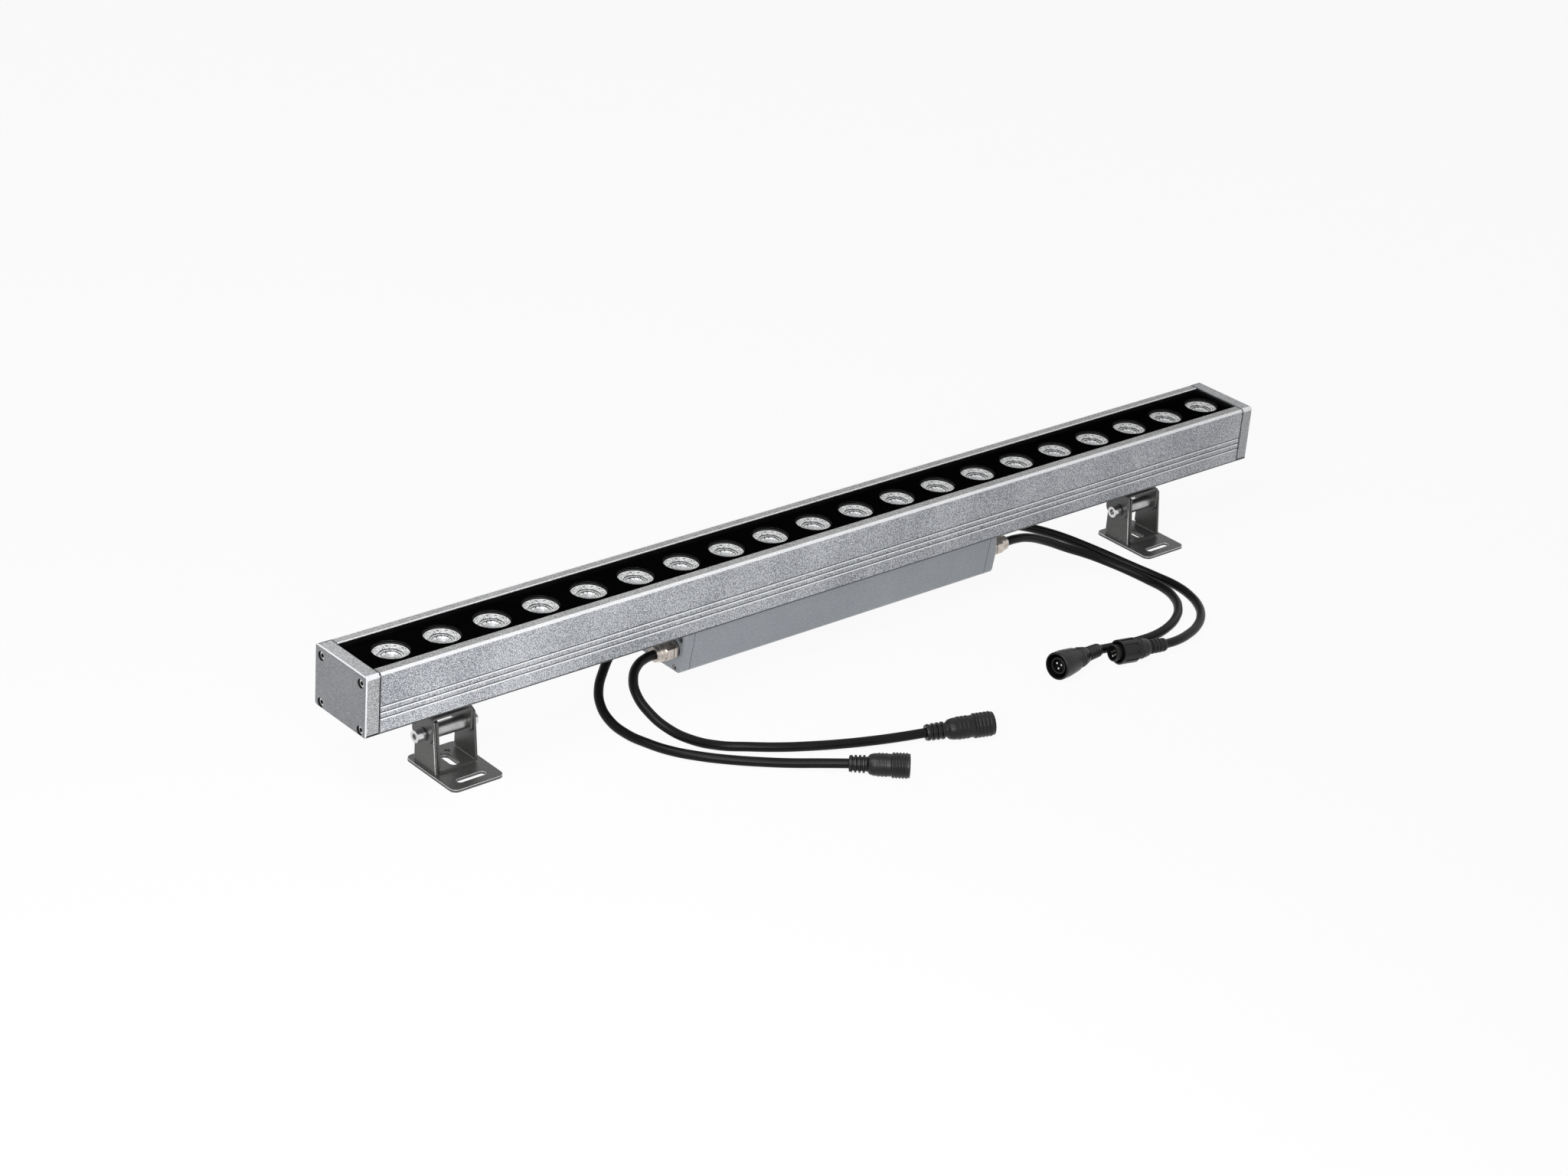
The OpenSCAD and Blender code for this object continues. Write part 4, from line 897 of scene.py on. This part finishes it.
@dataclass
class PhotoStage:
    """Camera, light and floor."""

    focal: float = 78.1095
    sensor: float = 36.0
    near: float = 0.05
    far: float = 50.0
    eye: Point = (-1.815405, -1.9162, 1.354882)
    right: Point = (0.7575436, -0.648586, 0.07391817)
    up: Point = (0.23870018, 0.38061846, 0.89339343)
    ahead: Point = (0.60757709, 0.65914019, -0.44315267)
    floor_half: float = 6.0
    floor_drop: float = 0.4 * MM
    floor_paint: Colour = grey(0.86)
    floor_white: float = 0.93
    world_light: float = 0.2
    lights: tuple[SoftLight, ...] = (
        SoftLight("top_light", (-1.05, -0.3, 1.45), (-0.25, 0.0, 0.08), 1.3, 0.9, 15.0),
        SoftLight("front_light", (-0.95, -0.95, 0.6), (-0.2, 0.0, 0.08), 0.8, 0.6, 10.0),
    )

    def camera(self) -> None:
        """Sets the camera at the photograph's angle."""
        data = bpy.data.cameras.new("photo_camera")
        data.lens = self.focal
        data.sensor_width = self.sensor
        data.clip_start = self.near
        data.clip_end = self.far
        camera = bpy.data.objects.new("photo_camera", data)
        turn = Matrix((self.right, self.up, -Vector(self.ahead))).transposed()
        camera.matrix_world = Matrix.Translation(self.eye) @ turn.to_4x4()
        bpy.context.scene.collection.objects.link(camera)
        bpy.context.scene.camera = camera

    def seen(self, graph: Graph) -> Wire:
        """Tells rays that show the backdrop from rays that light the lamp.

        Args:
            graph: Where the nodes are added.

        Returns:
            1 for the camera's rays and those in gloss or through glass, else 0.
        """
        camera = graph.add("ShaderNodeLightPath", out="Is Camera Ray")
        glossy = graph.add("ShaderNodeLightPath", out="Is Glossy Ray")
        through = graph.add("ShaderNodeLightPath", out="Is Transmission Ray")
        return camera.most(glossy).most(through)

    def world(self) -> None:
        """White for the eye and for reflections, softer as light."""
        graph = Graph(bpy.data.worlds.new("studio"))
        strength = self.seen(graph) * (1.0 - self.world_light) + self.world_light
        back = graph.add("ShaderNodeBackground", {}, {"Color": grey(1.0), "Strength": strength})
        graph.add("ShaderNodeOutputWorld", {}, {"Surface": back})
        bpy.context.scene.world = graph.owner

    def floor(self) -> None:
        """A pale floor that keeps a soft shadow."""
        graph = Graph(bpy.data.materials.new("pale_floor"))
        paint = graph.add("ShaderNodeBsdfDiffuse", {}, {"Color": self.floor_paint})
        glow = graph.add("ShaderNodeEmission", {}, {"Color": grey(1.0), "Strength": 1.0})
        share = self.seen(graph) * self.floor_white
        mixed = graph.add("ShaderNodeMixShader", {}, {0: share, 1: paint, 2: glow})
        graph.add("ShaderNodeOutputMaterial", {}, {"Surface": mixed})
        shape = bmesh.new()
        bmesh.ops.create_grid(shape, x_segments=1, y_segments=1, size=self.floor_half)
        mesh = bpy.data.meshes.new("floor")
        shape.to_mesh(mesh)
        shape.free()
        mesh.materials.append(graph.owner)
        floor = bpy.data.objects.new("floor", mesh)
        floor.location.z = -self.floor_drop
        bpy.context.scene.collection.objects.link(floor)

    def hang_lights(self) -> None:
        """A large light above and one in front."""
        for light in self.lights:
            light.make()


@dataclass(frozen=True)
class Cord:
    """One cable with its route, all in millimetres."""

    number: int
    gland: Point
    route: tuple[Point, ...]
    end: Point
    length: float
    carried: tuple[str, ...]
    radius: float = 4.1
    lift: float = 0.6
    steps: int = 10
    round_steps: int = 5

    def make(self, bench: Bench) -> None:
        """Args:
            bench: Where pieces are made.
        """
        name = f"cable_{self.number}"
        curve = bpy.data.curves.new(name, "CURVE")
        curve.dimensions = "3D"
        curve.resolution_u = self.steps
        curve.bevel_depth = self.radius * MM
        curve.bevel_resolution = self.round_steps
        curve.use_fill_caps = True
        spline = curve.splines.new("BEZIER")
        points = [self.gland, *self.route, self.end]
        spline.bezier_points.add(len(points) - 1)
        for knot, point in zip(spline.bezier_points, points):
            knot.co = Vector(point) * MM
            knot.co.z = max(knot.co.z, (self.radius + self.lift) * MM)
            knot.handle_left_type = knot.handle_right_type = "AUTO"
        curve.materials.append(bench.paints.get(Finishes.SHEATH))
        cable = bpy.data.objects.new(name, curve)
        bench.show(cable, f"cord_{self.number}")


@dataclass
class Cables:
    """The four cables, from their glands to their connectors."""

    gland_x: float = 202.0
    gland_front: float = -13.6
    gland_back: float = 22.0
    gland_z: float = 51.3

    def cords(self) -> tuple[Cord, ...]:
        """Writes the routes, which repeat the model's own.

        Returns:
            The four cords.
        """
        left, right = -self.gland_x, self.gland_x
        front, back, high = self.gland_front, self.gland_back, self.gland_z
        return (
            Cord(
                1, (left, front, high),
                (
                    (-211.2, -15, 51.3), (-223.6, -19.9, 50.2), (-235.8, -30.2, 46.5),
                    (-243.4, -45.1, 40.1), (-243.2, -63.1, 31.1), (-235.3, -76.9, 21.5),
                    (-219.3, -87.9, 11.5), (-198.2, -99.1, 4.5), (-178.4, -114.5, 4.3),
                    (-158.1, -128.5, 4.3), (-135.3, -141.1, 4.3), (-110.6, -152.7, 4.5),
                    (-85.9, -163.3, 5.2), (-63.2, -172.8, 6.4),
                ),
                (-43.5, -180.9, 8), 318.4, ("socket_1", "socket_insert_1"),
            ),
            Cord(
                2, (left, back, high),
                (
                    (-211.7, 20.5, 49.3), (-223.3, 16.4, 43.9), (-234.6, 10.4, 35), (-244.4, 3, 25),
                    (-250.4, -7.7, 16.2), (-252.1, -23.3, 8.6), (-249.8, -41.9, 4.4), (-245.3, -63.6, 4.3),
                    (-237.3, -83.8, 4.3), (-223.7, -103.4, 4.3), (-205.6, -122.6, 4.3),
                    (-186.7, -139.1, 4.5), (-167.7, -154.3, 5), (-149.8, -168.7, 6.2),
                ),
                (-131.7, -184.7, 8), 297.4, ("socket_2", "socket_insert_2"),
            ),
            Cord(
                3, (right, front, high),
                (
                    (217.4, -12.3, 50.2), (235.5, -10.7, 46.2), (259.7, -10.7, 36.6), (283.9, -15.9, 25.3),
                    (303, -25.6, 17.8), (317.2, -38.8, 11.7), (327, -54.6, 7.4), (332.8, -74.7, 4.7),
                    (332.8, -95.7, 4.3), (326.7, -114.1, 4.3), (314.6, -130.5, 4.3), (298.1, -143.1, 4.3),
                    (278.4, -151.9, 4.6), (257.9, -156.4, 4.6), (235, -157.2, 5.4), (210.9, -156, 6.7),
                ),
                (185.7, -155.2, 9.4), 367.1, ("plug_a", "plug_insert_a", "coupling_ring_a"),
            ),
            Cord(
                4, (right, back, high),
                (
                    (215.1, 21.8, 50.5), (232.2, 20.6, 47.7), (254.2, 16.9, 41.6), (275.5, 10.2, 34.4),
                    (294.1, 0.8, 27.1), (311.5, -12.5, 19.2), (325.7, -28.7, 12.5), (337, -48.5, 7.3),
                    (344.9, -72.6, 4.6), (347, -96.7, 4.3), (343.2, -117.9, 4.3), (334.1, -137.3, 4.3),
                    (320.8, -152.8, 4.3), (303.3, -164.5, 4.5), (282.6, -173, 5.8), (262.5, -177.9, 7.3),
                ),
                (244.6, -179, 8.8), 363.7, ("plug_b", "plug_insert_b", "coupling_ring_b"),
            ),
        )

    def make(self, bench: Bench) -> None:
        """Lays every cable."""
        for cord in self.cords():
            cord.make(bench)


@dataclass
class LampBody:
    """Extruded housing with its caps, gaskets and screws."""

    edge: float = 0.35 * MM
    screw_edge: float = 0.2 * MM
    housing_corner: float = 25.0
    cap_segments: int = 3
    flush: float = 0.05 * MM
    seam_strip: float = 0.45 * MM
    top_band: float = 4 * MM
    slant: float = 0.15
    level: float = 0.9
    groove_shade: float = 0.75 * MM
    rim_round: float = 0.6 * MM
    rim_turn: float = 1.4
    rim_length: float = 200 * MM
    corner_round: float = 1.1 * MM
    corner_turn: Band = (0.6, 1.0)
    corner_length: float = 4 * MM
    bevel_slant: float = 0.3
    square: float = 0.95
    wall_area: float = 6 * MM * MM
    pocket_area: float = 60 * MM * MM

    def shade_seam(self, shape: Shape, end: float, way: int) -> None:
        """Paints shade on a narrow strip beside the gasket.

        Args:
            shape: The housing or the caps.
            end: Distance of their ends at the gasket from the lamp's middle.
            way: 1 where the strip lies farther out than that and -1 where it lies farther in.
        """
        cut = end + way * self.seam_strip
        for side in (-1, 1):
            cut_at(shape, (side * cut, 0, 0), (1, 0, 0))
        for face in shape.faces:
            if abs(abs(face.calc_center_median().x) - (end + cut) / 2) < self.seam_strip / 2 - SLIVER:
                face.material_index = Coat.DARK

    def paint_housing(self, shape: Shape) -> None:
        """Gives the chamfers a painted highlight, the groove roofs and the top of each groove slope painted
        shade, the rest of each slope painted light and the rims' tops painted shade.

        Args:
            shape: The housing.
        """
        band = max(vert.co.z for vert in shape.verts) - self.top_band
        leaning = [face for face in shape.faces if lean(face) > self.slant]
        slopes = [face for face in leaning if face.normal.z > 0 and top_of(face) < band]
        for height in {round(top_of(face) - self.groove_shade, MICRON_DIGITS) for face in slopes}:
            cut_at(shape, (0, 0, height), (0, 0, 1))
        for face in shape.faces:
            high = top_of(face)
            if lean(face) > self.slant:
                tall = high - min(vert.co.z for vert in face.verts) > self.groove_shade + self.flush
                if high > band:
                    face.material_index = Coat.EDGE
                elif face.normal.z > 0 and tall:
                    face.material_index = Coat.PALE
                else:
                    face.material_index = Coat.DARK
            elif face.normal.z > self.level and high > band:
                face.material_index = Coat.RIM
        self.shade_seam(shape, farthest(shape), -1)

    def paint_caps(self, shape: Shape) -> None:
        """Gives bevels and corner cuts a painted highlight, screw pockets and small walls painted shade and
        the sides painted light.

        Args:
            shape: The caps.
        """
        far = farthest(shape) - self.flush
        for face in shape.faces:
            area, along = face.calc_area(), abs(face.normal.x)
            inside = abs(face.calc_center_median().x) < far
            sunk = along > self.square and area < self.pocket_area and inside
            if self.bevel_slant < along < self.square:
                face.material_index = Coat.EDGE
            elif area < self.wall_area or sunk:
                face.material_index = Coat.DARK
            elif along < self.bevel_slant:
                face.material_index = Coat.EDGE if lean(face) > self.bevel_slant else Coat.PALE
        self.shade_seam(shape, min(abs(vert.co.x) for vert in shape.verts), 1)

    def paint_heads(self, shape: Shape) -> None:
        """Leaves the tops of the screws' heads bright steel and paints shade on all that lies deeper.

        Args:
            shape: The screws of the caps.
        """
        far = farthest(shape) - self.flush
        for face in shape.faces:
            face.material_index = Coat.BODY if abs(face.calc_center_median().x) > far else Coat.INLAY

    def corner_edges(self, shape: Shape) -> list[Edge]:
        """Finds the long edges of the caps' corner cuts.

        Args:
            shape: The caps.

        Returns:
            Those edges.
        """
        return [
            e for e in shape.edges
            if len(e.link_faces) == 2 and e.calc_length() > self.corner_length
            and abs((e.verts[0].co - e.verts[1].co).x) > self.square * e.calc_length()
            and self.corner_turn[0] < e.calc_face_angle() < self.corner_turn[1]
            and min(face.calc_area() for face in e.link_faces) > self.wall_area
        ]

    def rim_edges(self, shape: Shape) -> list[Edge]:
        """Finds the inner edges of the housing's rims.

        Args:
            shape: The housing.

        Returns:
            Those edges.
        """
        top = max(vert.co.z for vert in shape.verts) - self.flush
        return [
            e for e in shape.edges
            if len(e.link_faces) == 2 and min(vert.co.z for vert in e.verts) > top
            and e.calc_face_angle() > self.rim_turn and e.calc_length() > self.rim_length
        ]

    def make(self, bench: Bench) -> None:
        """Dresses the housing and its ends.

        Args:
            bench: Where pieces are made.
        """
        bench.rounded(
            "housing", Slot.HOUSING, Finishes.HOUSING, self.edge, Finishes.HOUSING_EDGE,
            corner=self.housing_corner, painter=self.paint_housing,
            more=[Finishes.HOUSING_SHADE, Finishes.GROOVE, Finishes.RIM_TOP],
            first=self.rim_edges, first_edge=self.rim_round,
        )
        bench.rounded(
            "end_caps", Slot.END_CAP, Finishes.END_CAP, self.edge, Finishes.HOUSING_EDGE, self.cap_segments,
            painter=self.paint_caps, more=[Finishes.POCKET, Finishes.CAP_SIDE], first=self.corner_edges,
            first_edge=self.corner_round,
        )
        bench.rounded(
            "end_cap_screws", Slot.SMALL_SCREW, Finishes.STEEL, self.screw_edge, painter=self.paint_heads,
            more=[Finishes.POCKET],
        )
        bench.keep(Finishes.RUBBER, "end_gaskets")


@dataclass(frozen=True)
class Stretch:
    """A stretch of a lens's outline, straight from the end of the one before, in millimetres."""

    radius: float
    height: float
    coat: LensCoat
    rings: int = 1


@dataclass
class LensRow:
    """Black plate with its lenses, seals and LED board."""

    plate_edge: float = 0.4 * MM
    plate_segments: int = 3
    bead_edge: float = 0.25 * MM
    count: int = 20
    flange: float = 17 * MM
    sink: float = 0.7 * MM
    steps: int = 72
    rim_foot: tuple[float, float] = (15.15, -0.5)
    outline: tuple[Stretch, ...] = (
        Stretch(15.05, -0.08, LensCoat.RIM),
        Stretch(14.95, 0.0, LensCoat.RIM),
        Stretch(14.75, 0.0, LensCoat.RIM),
        Stretch(14.6, -0.2, LensCoat.RIM),
        Stretch(10.1, -1.5, LensCoat.SILVER, 9),
        Stretch(9.85, -2.3, LensCoat.STEP),
        Stretch(8.2, -2.45, LensCoat.SILVER, 3),
        Stretch(8.0, -3.2, LensCoat.STEP),
        Stretch(6.6, -4.32, LensCoat.SILVER, 2),
        Stretch(4.5, -6.0, LensCoat.GREY, 3),
        Stretch(4.35, -6.4, LensCoat.STEP),
        Stretch(3.9, -6.4, LensCoat.STEP),
        Stretch(3.8, -5.8, LensCoat.STEP),
        Stretch(3.0, -5.6, LensCoat.GREY),
        Stretch(1.8, -5.45, LensCoat.GREY),
        Stretch(0.6, -5.4, LensCoat.GREY),
    )
    pole: float = 0.7
    slack: float = 0.01
    sector_lead: float = 0.25
    faceted: Band = (10.3, 14.5)
    facet_depth: float = 0.1 * MM
    # Shares of silver facets that take dark painted reflection, and dark and grey painted reflection
    # together.
    dark_reflection_share: float = 0.13
    grey_reflection_share: float = 0.28
    seed: int = 7

    def rings(self) -> list[tuple[float, float, LensCoat]]:
        """Works out the rings of a lens face, from its rim to its centre.

        Returns:
            Radius and height of each ring in millimetres, and the coat of the surface up to it.
        """
        radius, height = self.rim_foot
        made = [(radius, height, LensCoat.RIM)]
        for part in self.outline:
            wider, drop = part.radius - radius, part.height - height
            for i in range(1, part.rings + 1):
                made.append((radius + wider * i / part.rings, height + drop * i / part.rings, part.coat))
            radius, height = part.radius, part.height
        return made

    def seat(self, point: Vector) -> tuple[int, float]:
        """Places a point round a lens and outwards, so that each run deals its draws the same way.

        Args:
            point: A corner of a face or its middle.

        Returns:
            Its sector, which is the first on the axis, and its distance from the axis.
        """
        reach = math.hypot(point.x, point.y)
        turn = math.atan2(point.y, point.x) / math.tau * self.steps if reach > SLIVER else 0.0
        return math.floor(turn + self.sector_lead) % self.steps, reach

    def paint(self, shape: Shape, rings: Sequence[tuple[float, float, LensCoat]]) -> None:
        """Gives every face of a lens its coat of painted reflection, with random facets in dark and grey
        painted reflection, and its facets their own depth.

        Args:
            shape: The lens face.
            rings: The rings that it was turned from.
        """
        rng = random.Random(self.seed)
        bounds = [(outer[0], inner[0], inner[2]) for outer, inner in zip(rings, rings[1:])]
        for face in sorted(shape.faces, key=lambda face: self.seat(face.calc_center_median())):
            reach = [radius_of(vert) for vert in face.verts]
            middle = (min(reach) + max(reach)) / 2
            coats = (coat for high, low, coat in bounds if low - self.slack <= middle <= high + self.slack)
            coat = next(coats, LensCoat.GREY)
            roll = rng.random()
            # Some random facets take dark painted reflection and some grey, instead of silver.
            if coat is LensCoat.SILVER and roll < self.grey_reflection_share:
                coat = LensCoat.STEP if roll < self.dark_reflection_share else LensCoat.GREY
            face.material_index = coat
        for vert in sorted(shape.verts, key=lambda vert: self.seat(vert.co)):
            if self.faceted[0] < radius_of(vert) < self.faceted[1]:
                vert.co.z += rng.uniform(-1.0, 1.0) * self.facet_depth

    def lens(self) -> Shape:
        """Makes one lens face with its facets and steps.

        Returns:
            The face, with its rim's top at the origin.
        """
        rings = self.rings()
        shape = spun([(radius * MM, height * MM) for radius, height, _ in rings], self.steps)
        middle = [vert for vert in shape.verts if radius_of(vert) < self.pole]
        bmesh.ops.contextual_create(shape, geom=middle)
        bmesh.ops.recalc_face_normals(shape, faces=shape.faces)
        if sum(face.normal.z * face.calc_area() for face in shape.faces) < 0:
            bmesh.ops.reverse_faces(shape, faces=shape.faces)
        self.paint(shape, rings)
        return shape

    def places(self) -> list[Matrix]:
        """Works out from the model's lenses where each lens sits.

        Returns:
            One matrix for each lens.
        """
        low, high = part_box("lenses")
        pitch = (high.x - low.x - 2 * self.flange) / (self.count - 1)
        middle = (low.y + high.y) / 2
        return [
            Matrix.Translation((low.x + self.flange + i * pitch, middle, high.z - self.sink))
            for i in range(self.count)
        ]

    def make(self, bench: Bench) -> None:
        """Makes the row and dresses what lies under it.

        Args:
            bench: Where pieces are made.
        """
        bench.rounded(
            "lens_plate", Slot.LENS_PLATE, Finishes.PLATE_BLACK, self.plate_edge, Finishes.PLATE_EDGE,
            self.plate_segments,
        )
        bench.rounded("plate_seal", Slot.BLACK_RUBBER, Finishes.BEAD, self.bead_edge, Finishes.BEAD_EDGE)
        # The lens faces' finishes are painted reflections.
        painted_reflections = [Finishes.LENS, Finishes.LENS_STEP, Finishes.LENS_GREY, Finishes.LENS_RIM]
        bench.add("lens_faces", spread(self.lens(), self.places()), "lenses", Slot.LENS, painted_reflections, flat=True)
        bench.keep(Finishes.SILICONE, "lens_seals")
        bench.keep(Finishes.SOLDER_MASK, "led_board")
        bench.keep(Finishes.PHOSPHOR, "led_chips")
        bench.keep(Finishes.ZINC, "board_screws")


@dataclass
class DriverUnit:
    """Driver box under the housing, with its caps and glands."""

    edge: float = 0.3 * MM
    screw_edge: float = 0.15 * MM

    def make(self, bench: Bench) -> None:
        """Dresses the box and what is in it.

        Args:
            bench: Where pieces are made.
        """
        for node in ("driver_box", "driver_cap_left", "driver_cap_right"):
            bench.rounded(node, Slot.DRIVER_BOX, Finishes.DRIVER, self.edge)
        for node in ("gland_bodies", "gland_nuts"):
            bench.rounded(node, Slot.GLAND, Finishes.NICKEL, self.edge)
        bench.rounded("driver_cap_screws", Slot.SMALL_SCREW, Finishes.ZINC, self.screw_edge)
        bench.keep(Finishes.RUBBER, "driver_pad", "driver_gaskets", "gland_seals")
        bench.keep(Finishes.ZINC, "driver_fixing_screws")
        bench.keep(Finishes.NICKEL, "wire_nipple", "nipple_nut")
        bench.keep(Finishes.GREEN_BOARD, "driver_board")
        bench.keep(Finishes.WOUND, "driver_components")
        bench.keep(Finishes.WIRE, "supply_wires")


@dataclass
class Connectors:
    """Two sockets and two plugs at the ends of the cables."""

    edge: float = 0.18 * MM
    ring_edge: float = 0.27 * MM
    insert_edge: float = 0.08 * MM
    corner: float = 28.0
    contact_area: float = 5 * MM * MM
    contact_reach: float = 4.25 * MM

    def paint_contacts(self, shape: Shape) -> None:
        """Gives the pins or sunk contacts of an insert their metal.

        Args:
            shape: The insert.
        """
        plane = max(shape.faces, key=lambda face: face.calc_area())
        middle, axis = plane.calc_center_bounds(), plane.normal.copy()
        for face in shape.faces:
            arm = face.calc_center_median() - middle
            off_axis = (arm - axis * arm.dot(axis)).length
            if face.calc_area() < self.contact_area and off_axis < self.contact_reach:
                face.material_index = Coat.INLAY

    def make(self, bench: Bench) -> None:
        """Dresses the connectors.

        Args:
            bench: Where pieces are made.
        """
        for node in ("socket_1", "socket_2", "plug_a", "plug_b"):
            bench.rounded(node, Slot.CONNECTOR, Finishes.NYLON, self.edge, corner=self.corner)
        for node in ("coupling_ring_a", "coupling_ring_b"):
            bench.rounded(node, Slot.RING, Finishes.NYLON, self.ring_edge, corner=self.corner)
        for node in ("socket_insert_1", "socket_insert_2", "plug_insert_a", "plug_insert_b"):
            bench.rounded(
                node, Slot.INSERT, Finishes.INSERT, self.insert_edge, painter=self.paint_contacts,
                more=[Finishes.PIN],
            )


@dataclass
class Brackets:
    """The two tilting feet and the hangers that carry the lamp."""

    edge: float = 0.42 * MM
    bolt_edge: float = 0.35 * MM
    bolt_segments: int = 3
    nut_edge: float = 0.3 * MM
    thin_edge: float = 0.2 * MM

    def make(self, bench: Bench) -> None:
        """Dresses both brackets.

        Args:
            bench: Where pieces are made.
        """
        slots = {"foot_plate": Slot.FOOT_PLATE, "channel": Slot.BRACKET, "cheek": Slot.BRACKET}
        for end in (side.value for side in Side):
            bench.rounded(f"hanger_{end}", Slot.HANGER, Finishes.GUNMETAL, self.edge)
            for part, slot in slots.items():
                bench.rounded(f"{part}_{end}", slot, Finishes.GUNMETAL, self.edge, Finishes.GUNMETAL_EDGE)
            bench.rounded(
                f"pivot_bolt_{end}", Slot.BOLT, Finishes.STEEL, self.bolt_edge, segments=self.bolt_segments
            )
            bench.rounded(f"pivot_nut_{end}", Slot.BOLT, Finishes.STEEL, self.nut_edge)
            bench.rounded(f"pivot_washers_{end}", Slot.WASHER, Finishes.DARK_STEEL, self.thin_edge)
            bench.rounded(f"pivot_spacer_{end}", Slot.SPACER, Finishes.TUBE, self.thin_edge)
        bench.rounded("hanger_blocks", Slot.HANGER, Finishes.GUNMETAL, self.edge)
        bench.keep(Finishes.ZINC, "hanger_screws")


def main() -> None:
    """Loads the model, then builds the scene piece by piece."""
    logging.basicConfig(level=logging.INFO, format="%(name)s: %(message)s")
    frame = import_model()
    bpy.context.scene.view_settings.view_transform = "Standard"
    stage = PhotoStage()
    stage.camera()
    bench = Bench(frame, Paintbox())
    for assembly in (Connectors(), Cables(), LampBody(), LensRow(), DriverUnit(), Brackets()):
        assembly.make(bench)
    stage.world()
    stage.floor()
    stage.hang_lights()
    bpy.context.view_layer.update()


if __name__ == "__main__":
    main()
